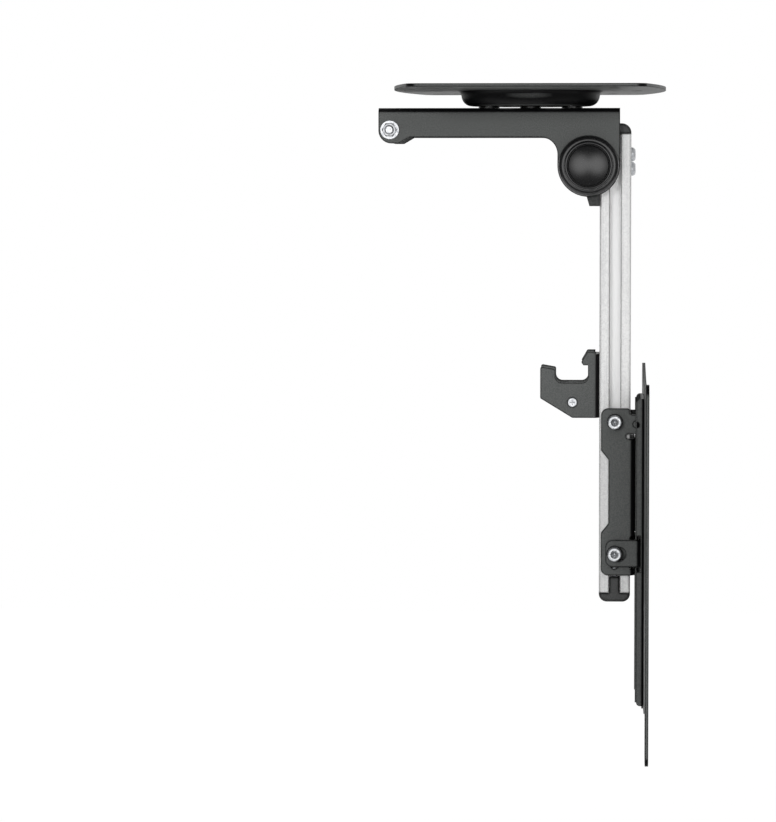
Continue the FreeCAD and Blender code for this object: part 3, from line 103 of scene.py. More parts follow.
class Finish:  # the nodes of one material or of the world
    bevelSamples = 6

    def __init__(self, owner):
        self.owner = owner
        owner.use_nodes = True
        self.tree = owner.node_tree
        self.tree.nodes.clear()

    def node(self, kind, settings=None, sockets=None, out=0):
        made = self.tree.nodes.new("ShaderNode" + kind)
        for name, value in (settings or {}).items():
            if name == "stops":
                for element, (place, grey) in zip(made.color_ramp.elements, value):
                    element.position = place
                    element.color = (grey, grey, grey, 1.0)
            else:
                setattr(made, name, value)
        for name, value in (sockets or {}).items():
            if isinstance(value, Wire):
                self.tree.links.new(value.socket, made.inputs[name])
            else:
                made.inputs[name].default_value = value
        return Wire(self, made.outputs[out]) if made.outputs else None

    def ramp(self, value, places, greys=(0.0, 1.0)):
        return self.node("ValToRGB", {"stops": list(zip(places, greys))}, {0: value})

    def blend(self, mask, first, second):  # two colours, the second where the mask is 1
        settings = {"data_type": "RGBA"}
        return self.node("Mix", settings, {0: mask, 6: colour(first), 7: colour(second)}, out=2)

    def between(self, mask, ends):  # the first number where the mask is 0, the second where 1
        return mask * (ends[1] - ends[0]) + ends[0]

    def noise(self, place, amounts):
        scale, detail, roughness = amounts
        sockets = {"Vector": place, "Scale": scale, "Detail": detail, "Roughness": roughness}
        return self.node("TexNoise", {}, sockets)

    def dot(self, first, second):
        settings = {"operation": "DOT_PRODUCT"}
        return self.node("VectorMath", settings, {0: first, 1: second}, out="Value")

    def rounded(self, reach):  # the surface's normal with its edges broken
        return self.node("Bevel", {"samples": self.bevelSamples}, {"Radius": reach})

    def edges(self, soft, turns):  # 1 where the broken edges turn, 0 on the open faces: the mask of the painted edge shade
        plain = self.node("NewGeometry", out="Normal")
        return self.ramp(self.dot(soft, plain), turns, (1.0, 0.0))

    def relief(self, height, amounts, normal):
        strength, distance = amounts
        return self.node("Bump", {}, {"Strength": strength, "Distance": distance,
                                      "Height": height, "Normal": normal})

    def material(self, sockets):
        shader = self.node("BsdfPrincipled", {}, sockets)
        self.node("OutputMaterial", {}, {"Surface": shader})
        return self.owner


def colour(value):  # a colour gets its alpha, and a link stays as it is
    return value if isinstance(value, Wire) else (*value, 1.0)


# Lengths in the finishes are in metres. A noise is given by its scale, detail and roughness,
# and a relief by its strength and depth. A tone range says where the noise goes from the dark
# to the light. Turns are cosines: of a broken edge off its face, and of a panel off its axis.

powderCoat = {
    "light": (0.122, 0.126, 0.124),
    "dark": (0.080, 0.084, 0.082),
    "foldShade": (0.004, 0.004, 0.0045),     # painted shade: folds and other faces that turn off the object's axes come out near black
    "edge": (0.003, 0.003, 0.003),      # painted shade: near-black lines along the broken edges
    "evenTurns": (0.92, 0.995),         # bent below these, where the painted fold shade goes, and flat above them
    "edgeTurns": (0.965, 0.9985),
    "grain": (1500.0, 3.0, 0.6),
    "grainShare": 0.6,
    "orangePeel": (420.0, 2.0, 0.5),
    "peelShare": 0.4,
    "toneRange": (0.36, 0.64),
    "roughness": (0.42, 0.56),          # of the dark and the light
    "relief": (0.5, 0.00006),
}
sheetCoats = {
    "powderCoat": {"edgeReach": 0.0014, "shine": 0.2},
    "spineCoat": {"edgeReach": 0.0006, "shine": 0.2},       # less painted edge shade and rounding on the spine's narrow lips
    "plateCoat": {"edgeReach": 0.0014, "shine": 0.05},      # the screen plate is duller
}


def powderCoated(name):
    kit = Finish(bpy.data.materials.new(name))
    where = kit.node("TexCoord", out="Object")
    facing = kit.node("TexCoord", out="Normal")
    straight = kit.node("VectorMath", {"operation": "ABSOLUTE"}, {0: facing})
    alongX = kit.node("SeparateXYZ", {}, {0: straight}, out="X")
    even = kit.ramp(alongX.larger(alongX.output("Y")).larger(alongX.output("Z")),
                    powderCoat["evenTurns"])
    soft = kit.rounded(sheetCoats[name]["edgeReach"])
    edge = kit.edges(soft, powderCoat["edgeTurns"])
    grain = kit.noise(where, powderCoat["grain"])
    peel = kit.noise(where, powderCoat["orangePeel"])
    tone = kit.ramp(grain, powderCoat["toneRange"])
    panel = kit.blend(tone, powderCoat["dark"], powderCoat["light"])
    # Painted shade: faces that turn off the object's axes, the folds and curved faces among them,
    # are coloured near black.
    foldShadedPanel = kit.blend(even, powderCoat["foldShade"], panel)
    height = grain * powderCoat["grainShare"] + peel * powderCoat["peelShare"]
    # Painted shade: the broken edges are coloured near black.
    return kit.material({"Base Color": kit.blend(edge, foldShadedPanel, powderCoat["edge"]),
                         "Roughness": kit.between(tone, powderCoat["roughness"]),
                         "Normal": kit.relief(height, powderCoat["relief"], soft),
                         "Specular IOR Level": sheetCoats[name]["shine"]})


castBlock = {
    "light": (0.050, 0.052, 0.051),
    "dark": (0.030, 0.031, 0.031),      # pits of the casting
    "grain": (900.0, 4.0, 0.6),
    "toneRange": (0.34, 0.62),
    "roughness": (0.68, 0.50),
    "relief": (0.6, 0.00015),
    "edgeReach": 0.0008,
    "shine": 0.35,
}


def cast():
    kit = Finish(bpy.data.materials.new("castBlock"))
    grain = kit.noise(kit.node("TexCoord", out="Object"), castBlock["grain"])
    tone = kit.ramp(grain, castBlock["toneRange"])
    soft = kit.rounded(castBlock["edgeReach"])
    return kit.material({"Base Color": kit.blend(tone, castBlock["dark"], castBlock["light"]),
                         "Roughness": kit.between(tone, castBlock["roughness"]),
                         "Normal": kit.relief(grain, castBlock["relief"], soft),
                         "Specular IOR Level": castBlock["shine"]})


aluminium = {
    "light": (0.94, 0.94, 0.935),
    "dark": (0.77, 0.77, 0.77),
    "groove": (0.98, 0.98, 0.98),       # the unblasted floor of the side grooves
    "line": (0.12, 0.12, 0.12),         # painted shade along the corners of the extrusion
    "grooveFace": 0.0172,               # what lies nearer to the middle is in a groove
    "edgeReach": 0.0014,
    "edgeTurns": (0.95, 0.998),
    "grain": (1300.0, 3.0, 0.65),
    "grainShare": 0.65,
    "stretch": (900.0, 900.0, 12.0),    # fine lines along the extrusion
    "drawn": (1.0, 3.0, 0.6),
    "drawnShare": 0.35,
    "toneRange": (0.38, 0.62),
    "roughness": (0.60, 0.46),
    "relief": (0.5, 0.00003),
    "metallic": 0.5,
}


def anodised():
    kit = Finish(bpy.data.materials.new("silverAnodised"))
    where = kit.node("TexCoord", out="Object")
    lines = kit.node("VectorMath", {"operation": "MULTIPLY"}, {0: where, 1: aluminium["stretch"]})
    drawn = kit.noise(lines, aluminium["drawn"])
    grain = kit.noise(where, aluminium["grain"])
    mixed = drawn * aluminium["drawnShare"] + grain * aluminium["grainShare"]
    tone = kit.ramp(mixed, aluminium["toneRange"])
    outer = kit.blend(tone, aluminium["dark"], aluminium["light"])
    across = kit.node("SeparateXYZ", {}, {0: where}, out="Y")
    inside = 1.0 - (abs(across) > aluminium["grooveFace"])
    metal = kit.blend(inside, outer, aluminium["groove"])
    soft = kit.rounded(aluminium["edgeReach"])
    edge = kit.edges(soft, aluminium["edgeTurns"])
    # Painted shade: dark lines along the profile's broken edges.
    return kit.material({"Base Color": kit.blend(edge, metal, aluminium["line"]),
                         "Roughness": kit.between(tone, aluminium["roughness"]),
                         "Normal": kit.relief(grain, aluminium["relief"], soft),
                         "Metallic": aluminium["metallic"]})


zinc = {
    "light": (0.84, 0.85, 0.87),
    "dark": (0.62, 0.64, 0.67),
    "grain": (700.0, 3.0, 0.6),
    "toneRange": (0.35, 0.65),
    "roughness": (0.34, 0.20),
    "edgeReach": 0.00025,
}
platings = {
    "brightZinc": {"tint": 1.0, "metallic": 0.85},
    "blackPlated": {"tint": 0.04, "metallic": 0.85},
    "satinZinc": {"tint": 0.9, "metallic": 0.3},
    "nutZinc": {"tint": 0.72, "metallic": 1.0},
}


def plated(name):
    kit = Finish(bpy.data.materials.new(name))
    grain = kit.noise(kit.node("TexCoord", out="Object"), zinc["grain"])
    tone = kit.ramp(grain, zinc["toneRange"])
    dark, light = ([part * platings[name]["tint"] for part in zinc[shade]]
                   for shade in ("dark", "light"))
    return kit.material({"Base Color": kit.blend(tone, dark, light),
                         "Roughness": kit.between(tone, zinc["roughness"]),
                         "Normal": kit.rounded(zinc["edgeReach"]),
                         "Metallic": platings[name]["metallic"]})


mouldings = {
    "blackMoulding": {
        "light": (0.0055, 0.0055, 0.006),
        "dark": (0.0030, 0.0030, 0.0033),
        "grain": (1800.0, 2.0, 0.5),
        "toneRange": (0.38, 0.62),
        "roughness": (0.22, 0.30),
        "relief": (0.4, 0.00002),
        "edgeReach": 0.0003,
        "shine": 1.0,
    },
    "capMoulding": {
        "light": (0.078, 0.079, 0.079),
        "dark": (0.050, 0.051, 0.051),
        # painted shade: near-black lines along the caps' broken edges
        "edge": (0.003, 0.003, 0.003),
        "edgeTurns": (0.965, 0.9985),
        "grain": (1500.0, 2.0, 0.5),
        "toneRange": (0.38, 0.62),
        "roughness": (0.42, 0.56),
        "relief": (0.4, 0.00005),
        "edgeReach": 0.0024,
        "shine": 0.35,
    },
}


def moulded(name):
    facts = mouldings[name]
    kit = Finish(bpy.data.materials.new(name))
    grain = kit.noise(kit.node("TexCoord", out="Object"), facts["grain"])
    skin = kit.blend(kit.ramp(grain, facts["toneRange"]), facts["dark"], facts["light"])
    soft = kit.rounded(facts["edgeReach"])
    # Painted shade: a moulding with an edge colour gets near-black lines along its broken edges.
    if "edge" in facts:
        skin = kit.blend(kit.edges(soft, facts["edgeTurns"]), skin, facts["edge"])
    return kit.material({"Base Color": skin,
                         "Roughness": kit.between(grain, facts["roughness"]),
                         "Normal": kit.relief(grain, facts["relief"], soft),
                         "Specular IOR Level": facts["shine"]})


coat, spineCoat, plateCoat = (powderCoated(name) for name in sheetCoats)
finishOf = {  # by material slot
    "charcoal_paint": coat,
    "silver_aluminium": anodised(),
    "cast_block": cast(),
    "bright_zinc": plated("brightZinc"),
    "black_washer": plated("blackPlated"),
    "black_plastic": moulded("blackMoulding"),
}
capPlastic = moulded("capMoulding")
special = {  # pieces whose look differs from the rest of their slot
    "arm_top_cap": capPlastic,
    "arm_bottom_cap": capPlastic,
    "tilt_pin": coat,
    "screen_spine": spineCoat,
    "screen_plate": plateCoat,
    "block_screws": plated("satinZinc"),
    "catch_nut": plated("nutZinc"),
}


def finishFor(node):
    return special.get(node, finishOf[slotOf[node]])


for name, node in frame["nodes"].items():
    node.data.materials.clear()
    node.data.materials.append(finishFor(name))
print("finishes given to", len(slotOf), "nodes")


# Turned pieces are rings of radius and height about an axis. Sizes are in millimetres.

mm = 0.001
turnedSteps = 144
sharpFrom = 24      # edges that turn by more degrees stay sharp
intoHead = 0.1      # how far a shank runs into its head
axes = {"+X": Vector((1, 0, 0)), "-X": Vector((-1, 0, 0)), "+Y": Vector((0, 1, 0)),
        "-Y": Vector((0, -1, 0)), "+Z": Vector((0, 0, 1)), "-Z": Vector((0, 0, -1))}


def addRings(mesh, rings, base, way, looped=False):  # closed at its ends, or back to its start
    axis = axes[way]
    side = Vector((1, 0, 0)) if axis.z else Vector((0, 0, 1))
    other = axis.cross(side)
    rows = []
    for ring in rings:
        row = []
        for step in range(turnedSteps):
            angle = 2 * math.pi * step / turnedSteps
            radius, height = ring(angle) if callable(ring) else ring
            out = side * math.cos(angle) + other * math.sin(angle)
            row.append(mesh.verts.new(Vector(base) + axis * height * mm + out * radius * mm))
        rows.append(row)
    pairs = list(zip(rows, rows[1:]))
    if looped:
        pairs.append((rows[-1], rows[0]))
    else:
        mesh.faces.new(rows[0][::-1])
        mesh.faces.new(rows[-1])
    for lower, upper in pairs:
        for step in range(turnedSteps):
            after = (step + 1) % turnedSteps
            mesh.faces.new((lower[step], lower[after], upper[after], upper[step]))


def addPiece(name, mesh, node):  # a piece with the node's body, slot and finish
    bmesh.ops.recalc_face_normals(mesh, faces=mesh.faces)
    data = bpy.data.meshes.new(name)
    mesh.to_mesh(data)
    mesh.free()
    data.materials.append(finishFor(node))
    piece = bpy.data.objects.new(name, data)
    bpy.context.scene.collection.objects.link(piece)
    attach(piece, bodyOf[node])
    return piece


def standFor(node, mesh):  # the finished piece takes the node's place
    piece = addPiece(node + "_detail", mesh, node)
    faces = piece.data.polygons
    faces.foreach_set("use_smooth", [True] * len(faces))
    piece.data.set_sharp_from_angle(angle=math.radians(sharpFrom))
    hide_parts(node)


def middle(node):
    low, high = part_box(node)
    return (low + high) / 2


def quarterRound(inner, base, across, up, steps):  # rings from the outside up to the top
    turns = [math.pi / 2 * step / steps for step in range(steps + 1)]
    return [(inner + across * math.cos(turn), base + up * math.sin(turn)) for turn in turns]


def domeRings(radius, top, rim, height):  # a screw's or rivet's head, flat on its top
    return [(radius, 0.0), *quarterRound(top, rim, radius - top, height - rim, steps=8)]


# Hexagon heads, nuts and sockets

hexShares = {  # of the width across flats
    "corner": 0.485,                                # where a corner starts to be turned down
    "face": 0.475,                                  # round face inside the corners
    "dish": 0.30, "dishFloor": 0.26,
    "socketMouth": 0.64, "socketBevel": 0.07, "socketCone": 0.22,
}
hexEdges = {
    "headFoot": 0.15, "nutFoot": 0.2,               # broken edge of the seat
    "dishDepth": 0.15,
    "nutMouth": 0.3, "nutFaceMouth": 0.35,          # chamfers of a nut's bore
    "socketTip": 0.4,                               # drilled floor of a socket
}
cornerSlope = 0.62


def hexAt(flats, angle):  # a hexagon's radius at an angle
    return flats / 2 / math.cos((angle + math.pi / 6) % (math.pi / 3) - math.pi / 6)


def hexRing(flats, height, less=0.0):
    return lambda angle: (hexAt(flats, angle) - less, height)


def cornerRing(flats, height, side):  # where the flats end, below or above a face
    def ring(angle):
        corner = max(0.0, hexAt(flats, angle) - flats * hexShares["corner"])
        return (hexAt(flats, angle), height + side * corner * cornerSlope)
    return ring


def addHexHead(mesh, flats, height, base, way):
    foot, floor = hexEdges["headFoot"], height - hexEdges["dishDepth"]
    addRings(mesh, [hexRing(flats, 0.0, foot), hexRing(flats, foot), cornerRing(flats, height, -1),
                    (flats * hexShares["face"], height), (flats * hexShares["dish"], height),
                    (flats * hexShares["dishFloor"], floor)], base, way)


def addHexNut(mesh, flats, height, bore, base, way):
    mouth, faceMouth = hexEdges["nutMouth"], hexEdges["nutFaceMouth"]
    addRings(mesh, [(bore, mouth), (bore + mouth, 0.0), hexRing(flats, 0.0, hexEdges["nutFoot"]),
                    cornerRing(flats, 0.0, 1), cornerRing(flats, height, -1),
                    (flats * hexShares["face"], height), (bore + faceMouth, height),
                    (bore, height - faceMouth)], base, way, looped=True)


def socketRings(flats, height, depth):  # from a head's top into its hexagon socket
    return [(flats * hexShares["socketMouth"], height),
            hexRing(flats, height - flats * hexShares["socketBevel"]),
            hexRing(flats, height - depth),
            (hexEdges["socketTip"], height - depth - flats * hexShares["socketCone"])]


# Threads and washers

thread = {"depth": 0.55, "ringsPerTurn": 6}     # the depth is a share of the pitch
washerEdge = {"chamfer": 0.1, "round": 0.25, "middle": 0.08}    # the round is the outer edge's


def threadRing(radius, depth, pitch, height, limit):  # limit is the chamfer's radius there
    def ring(angle):
        wave = abs((height / pitch - angle / (2 * math.pi)) % 1.0 - 0.5) * 2
        return (min(radius - depth * wave, limit), height)
    return ring


def addThread(mesh, radius, pitch, start, end, base, way):  # a threaded rod, chamfered at its end
    depth = pitch * thread["depth"]
    rows = int((end - start) / pitch * thread["ringsPerTurn"])
    rings = []
    for row in range(rows + 1):
        height = start + (end - start) * row / rows
        limit = radius - max(0.0, height - end + depth)
        rings.append(threadRing(radius, depth, pitch, height, limit))
    addRings(mesh, rings + [(radius - depth * 2, end)], base, way)


def addWasher(mesh, inner, outer, thick, base, way):
    chamfer, edge, half = washerEdge["chamfer"], washerEdge["round"], washerEdge["middle"]
    addRings(mesh, [(inner, 0.0), (outer - chamfer, 0.0), (outer, chamfer), (outer, thick - edge),
                    (outer - half, thick - half), (outer - edge, thick),
                    (inner + chamfer, thick), (inner, thick - chamfer)], base, way, looped=True)


# Swivel and guide bolts under the ceiling plate

swivelBolts = {
    "swivel": {"off": (0.0,), "flats": 13.0, "head": 4.6, "radius": 4.0, "pitch": 1.25,
               "nut": 6.5, "washer": 8.5},
    "guide": {"off": (-26.0, 26.0), "flats": 10.0, "head": 4.0, "radius": 3.0, "pitch": 1.0,
              "nut": 5.0, "washer": 6.0},
}


def makeSwivelBolts():
    for name, facts in swivelBolts.items():
        bolt, nut, washer = bmesh.new(), bmesh.new(), bmesh.new()
        flats, radius = facts["flats"], facts["radius"]
        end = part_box(name + "_bolt")[0].z
        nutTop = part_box(name + "_nut")[1].z
        under, seat = (corner.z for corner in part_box(name + "_washer"))
        plain, shank = (seat - nutTop) / mm, (seat - end) / mm
        for off in facts["off"]:
            face = (off * mm, 0.0, seat)
            addHexHead(bolt, flats, facts["head"], face, "+Z")
            addRings(bolt, [(radius, -intoHead), (radius, plain)], face, "-Z")
            addThread(bolt, radius, facts["pitch"], plain, shank, face, "-Z")
            addHexNut(nut, flats, facts["nut"], radius, (off * mm, 0.0, nutTop), "-Z")
            addWasher(washer, radius, facts["washer"], (seat - under) / mm,
                      (off * mm, 0.0, under), "-Z")
        standFor(name + "_bolt", bolt)
        standFor(name + "_nut", nut)
        standFor(name + "_washer", washer)


# Catch bolt across the channel's free end

catchBolt = {"flats": 8.0, "head": 3.5, "radius": 2.5, "pitch": 0.8, "nut": 4.0,
             "washer": 5.9, "thick": 1.0}


def makeCatchBolt():
    place = middle("catch_washer")
    low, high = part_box("catch_washer")
    flats, radius, thick = catchBolt["flats"], catchBolt["radius"], catchBolt["thick"]
    tip = (low.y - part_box("catch_bolt")[0].y) / mm
    nearFace, farFace = (place.x, low.y, place.z), (place.x, high.y, place.z)
    bolt, nut, washer = bmesh.new(), bmesh.new(), bmesh.new()
    addHexHead(bolt, flats, catchBolt["head"], farFace, "+Y")
    addRings(bolt, [(radius, 0.0), (radius, (high.y - low.y) / mm)], farFace, "-Y")
    addThread(bolt, radius, catchBolt["pitch"], 0.0, tip, nearFace, "-Y")
    addHexNut(nut, flats, catchBolt["nut"], radius, nearFace, "-Y")
    for under, way in ((low.y + thick * mm, "-Y"), (high.y - thick * mm, "+Y")):
        addWasher(washer, radius, catchBolt["washer"], thick, (place.x, under, place.z), way)
    standFor("catch_bolt", bolt)
    standFor("catch_nut", nut)
    standFor("catch_washer", washer)


# Cap screws that clamp the sliding bracket

capScrew = {
    "radius": 4.25, "height": 5.0, "chamfer": 0.55,
    "foot": 0.3, "band": 0.15, "topBand": 0.2,      # plain bands below and above the knurl
    "ridges": 36, "knurl": 0.14,
    "socket": 4.0, "socketDepth": 2.6,
    "shank": 2.5, "shortOfNut": 3.4,                # the shank ends inside the groove nut
    "washer": 5.0, "thick": 1.0,
}


def knurledRing(height):
    def ring(angle):
        wave = abs(angle * capScrew["ridges"] / (2 * math.pi) % 1.0 - 0.5) * 2
        return (capScrew["radius"] - capScrew["knurl"] * wave, height)
    return ring


def capHeadRings():
    radius, height, chamfer = capScrew["radius"], capScrew["height"], capScrew["chamfer"]
    foot, band = capScrew["foot"], capScrew["band"]
    shoulder = height - chamfer
    topBand = shoulder - capScrew["topBand"]
    return [(radius - foot, 0.0), (radius, foot), (radius, foot + band),
            knurledRing(foot + band * 2), knurledRing(topBand - band), (radius, topBand),
            (radius, shoulder), (radius - chamfer, height),
            *socketRings(capScrew["socket"], height, capScrew["socketDepth"])]


def makeCapScrews():
    shank, thick = capScrew["shank"], capScrew["thick"]
    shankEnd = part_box("groove_nuts")[1].y - capScrew["shortOfNut"] * mm
    for level in ("upper", "lower"):
        place = middle(level + "_bolts")
        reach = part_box(level + "_bolts")[1].y - place.y - capScrew["height"] * mm
        screws, washers = bmesh.new(), bmesh.new()
        for way, side in (("-Y", -1), ("+Y", 1)):
            seat = Vector((place.x, place.y + side * reach, place.z))
            addRings(screws, capHeadRings(), seat, way)
            addRings(screws, [(shank, (shankEnd - abs(seat.y)) / mm), (shank, intoHead)], seat, way)
            under = seat - axes[way] * thick * mm
            addWasher(washers, shank, capScrew["washer"], thick, under, way)
        standFor(level + "_bolts", screws)
        standFor(level + "_washers", washers)


# Domed screws that hold the profile on the hinge block

blockScrew = {"radius": 4.4, "height": 2.8, "top": 2.3, "rim": 0.35, "socket": 3.0,
              "socketDepth": 1.7, "shank": 2.5, "length": 17.0}


def makeBlockScrews():
    low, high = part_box("block_screws")
    radius, height, shank = blockScrew["radius"], blockScrew["height"], blockScrew["shank"]
    screws = bmesh.new()
    for z in (low.z + radius * mm, high.z - radius * mm):
        face = (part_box("arm_profile")[1].x, 0.0, z)
        addRings(screws, domeRings(radius, blockScrew["top"], blockScrew["rim"], height)
                 + socketRings(blockScrew["socket"], height, blockScrew["socketDepth"]), face, "+X")
        addRings(screws, [(shank, -blockScrew["length"]), (shank, intoHead)], face, "+X")
    standFor("block_screws", screws)


# Stop screws in the side grooves

stopScrew = {"radius": 3.1, "height": 5.5, "pitch": 1.0, "threadDepth": 0.5, "socket": 2.5,
             "socketDepth": 2.0}


def makeStopScrews():
    place = middle("stop_screws")
    radius, height, depth = stopScrew["radius"], stopScrew["height"], stopScrew["threadDepth"]
    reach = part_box("stop_screws")[1].y - place.y - height * mm
    rows = int((height - depth) / stopScrew["pitch"] * thread["ringsPerTurn"])
    rings = [threadRing(radius, depth, stopScrew["pitch"], (height - depth) * row / rows, radius)
             for row in range(rows + 1)]
    rings += [(radius - depth, height),
              *socketRings(stopScrew["socket"], height, stopScrew["socketDepth"])]
    screws = bmesh.new()
    for way, side in (("-Y", -1), ("+Y", 1)):
        addRings(screws, rings, (place.x, place.y + side * reach, place.z), way)
    standFor("stop_screws", screws)


# Cross pin of the hook, with a cross pressed into each end

hookPin = {"radius": 2.9, "shoulder": ((2.9, 0.45), (2.8, 0.2)),    # radius and depth
           "face": 2.55, "faceRings": 20,
           "cross": 1.7, "crossWidth": 0.32, "crossDepth": 0.28, "crossFade": 0.3}


def makeHookPin():
    place = middle("hook_pin")
    reach = (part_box("hook_pin")[1].y - place.y) / mm

    def faceRing(radius):
        def ring(angle):
            aside = min(abs(radius * math.sin(angle)), abs(radius * math.cos(angle)))
            cut = max(0.0, 1.0 - (aside / hookPin["crossWidth"]) ** 2)
            cut *= min(1.0, max(0.0, (hookPin["cross"] - radius) / hookPin["crossFade"]))
            return (radius, reach - hookPin["crossDepth"] * cut)
        return ring
    rings = [(hookPin["radius"], 0.0)]
    rings += [(radius, reach - depth) for radius, depth in hookPin["shoulder"]]
    rings.append((hookPin["face"], reach))
    steps = hookPin["faceRings"]
    rings += [faceRing(hookPin["face"] * step / steps) for step in range(steps - 1, 0, -1)]
    pin = bmesh.new()
    for way in ("-Y", "+Y"):
        addRings(pin, rings, place, way)
    standFor("hook_pin", pin)


# Blind rivets of the hook and solid rivets of the spine

blindRivet = {
    "head": 4.7, "height": 1.6, "top": 1.9, "rim": 0.25,
    "hole": 1.25, "holeLip": 0.2, "holeDepth": 0.8,
    "stem": 1.0, "stemRise": 0.2,       # broken stem at the hole's floor
    "shank": 2.4, "grip": 4.3,
    "bulb": 3.4, "bulbLength": 4.0, "bulbRound": 0.8, "bulbTaper": 0.3,
}
plateRivet = {"head": 3.8, "height": 1.2, "top": 1.2, "rim": 0.2, "shank": 2.0, "grip": 4.0,
              "chamfer": 0.2}


def makeHookRivets():
    low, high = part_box("hook_rivets")
    head, height, hole = (blindRivet[name] for name in ("head", "height", "hole"))
    grip, bulb, shank = (blindRivet[name] for name in ("grip", "bulb", "shank"))
    bulbRound, floor = blindRivet["bulbRound"], height - blindRivet["holeDepth"]
    tail = -grip - blindRivet["bulbLength"]
    rivets = bmesh.new()
    for z in (low.z + head * mm, high.z - head * mm):
        face = (low.x + height * mm, 0.0, z)
        addRings(rivets, domeRings(head, blindRivet["top"], blindRivet["rim"], height)
                 + [(hole, height - blindRivet["holeLip"]), (hole, floor),
                    (blindRivet["stem"], floor + blindRivet["stemRise"])], face, "-X")
        addRings(rivets, [(bulb - bulbRound, tail), (bulb, tail + bulbRound),
                          (bulb, -grip - blindRivet["bulbTaper"]), (shank, -grip),
                          (shank, intoHead)], face, "-X")
    standFor("hook_rivets", rivets)


def makeSpineRivets():
    low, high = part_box("spine_rivets")
    head, height, shank = (plateRivet[name] for name in ("head", "height", "shank"))
    chamfer, grip = plateRivet["chamfer"], plateRivet["grip"]
    rivets = bmesh.new()
    for y in (low.y + head * mm, high.y - head * mm):
        for z in (low.z + head * mm, high.z - head * mm):
            face = (low.x + height * mm, y, z)
            addRings(rivets, domeRings(head, plateRivet["top"], plateRivet["rim"], height),
                     face, "-X")
            addRings(rivets, [(shank - chamfer, -grip), (shank, chamfer - grip),
                              (shank, intoHead)], face, "-X")
    standFor("spine_rivets", rivets)


# Round covers over the hinge bolt: a stepped disc with a domed face inside a moat

hingeCover = {
    "radius": 18.7, "rim": 4.6, "shoulder": 3.2,            # rounded outer ring
    "ledge": ((15.3, 0.0), (15.2, 0.15), (15.0, 0.6)),      # radius, and height over the rim
    "step": 15.0, "stepRound": 1.2,                         # second step
    # the moat by radius, and depth under the second step
    "moat": ((13.6, 0.0), (13.4, 0.3), (12.95, 1.7), (12.75, 1.7), (12.3, 0.35)),
    "face": 12.15, "rise": 2.2, "faceRings": 25,            # dome of the middle face
    "centre": 0.05,
    "hollow": 9.2, "wall": 1.2,                             # over the bolt's head and nut
}


def coverRings(top):  # top is the second step's height over the sheet
    radius, rim, shoulder = (hingeCover[name] for name in ("radius", "rim", "shoulder"))
    step, stepRound = hingeCover["step"], hingeCover["stepRound"]
    face, rise, centre = (hingeCover[name] for name in ("face", "rise", "centre"))
    rings = [(radius, 0.0)]
    rings += quarterRound(radius - shoulder, rim - shoulder, shoulder, shoulder, steps=10)
    rings += [(out, rim + over) for out, over in hingeCover["ledge"]]
    rings += quarterRound(step - stepRound, top - stepRound, stepRound, stepRound, steps=6)
    rings += [(out, top - depth) for out, depth in hingeCover["moat"]]
    ball = (face * face + rise * rise) / (rise * 2)
    for ring in range(hingeCover["faceRings"]):
        out = face * (1 - ring / hingeCover["faceRings"])
        rings.append((out, top + rise - ball + math.sqrt(ball * ball - out * out)))
    hollow, hollowTop = hingeCover["hollow"], top - hingeCover["wall"]
    rings += [(centre, top + rise), (centre, hollowTop), (hollow, hollowTop), (hollow, 0.0)]
    return rings


def makeCovers():
    for node, way in (("pivot_cover_near", "-Y"), ("pivot_cover_far", "+Y")):
        place = middle(node)
        low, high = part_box(node)
        sheet = high.y if way == "-Y" else low.y
        top = (high.y - low.y) / mm - hingeCover["rise"]
        cover = bmesh.new()
        addRings(cover, coverRings(top), (place.x, sheet, place.z), way, looped=True)
        standFor(node, cover)


# The spine's lips reach a little nearer to the bracket than the solid's do. A tongue on each
# strip holds it in the sheet, and the strips stop short of the tilt yoke.

spineLips = {"depth": 4.6, "deeper": 0.8, "sheet": 2.0, "tongue": 1.2, "corner": 2.4, "gap": 0.3}


def makeSpineLips():
    low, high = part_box("screen_spine")
    yokeLow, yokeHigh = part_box("tilt_yoke")
    depth, deeper, sheet, tongue, corner, gap = (size * mm for size in spineLips.values())
    lip = high.x - depth
    lips = bmesh.new()
    runs = ((low.z + corner, yokeLow.z - gap), (yokeHigh.z + gap, high.z - corner))
    for side, face in ((-1, low.y), (1, high.y)):
        inner = face - side * sheet
        section = [(lip - deeper, face), (lip, face), (lip + tongue, face - side * sheet / 2),
                   (lip, inner), (lip - deeper, inner)]
        for bottom, top in runs:
            ends = [[lips.verts.new((x, y, z)) for x, y in section] for z in (bottom, top)]
            lips.faces.new(ends[0])
            lips.faces.new(ends[1][::-1])
            for index in range(len(section)):
                after = (index + 1) % len(section)
                lips.faces.new((ends[0][index], ends[0][after], ends[1][after], ends[1][index]))
    addPiece("spine_lips", lips, "screen_spine")


makeCovers()
makeSpineLips()
makeSwivelBolts()
makeCatchBolt()
makeCapScrews()
makeBlockScrews()
makeStopScrews()
makeHookPin()
makeHookRivets()
makeSpineRivets()
print("turned pieces and spine lips are made")


# The floor stands well below the object, and keeps its shadow under the white. From here on
# lengths are in metres.

stage = {
    "floorHeight": -0.62,
    "floorSize": 2.4,
    "floorFront": -0.4,     # where the floor starts, in front of the object
    "floorColour": (0.86, 0.86, 0.86, 1.0),
    "whiteShare": 0.8,      # how far the floor shows as plain white
    "white": 1.09,          # makes up for the share that is lit
    "whiteInGloss": 0.15,   # of that, what gloss and metal see
}


def seenDirectly(kit, inGloss):  # 1 for camera and transmission rays, inGloss for glossy ones
    camera = kit.node("LightPath", out="Is Camera Ray")
    glossy, through = camera.output("Is Glossy Ray"), camera.output("Is Transmission Ray")
    return camera.larger(glossy * inGloss).larger(through)


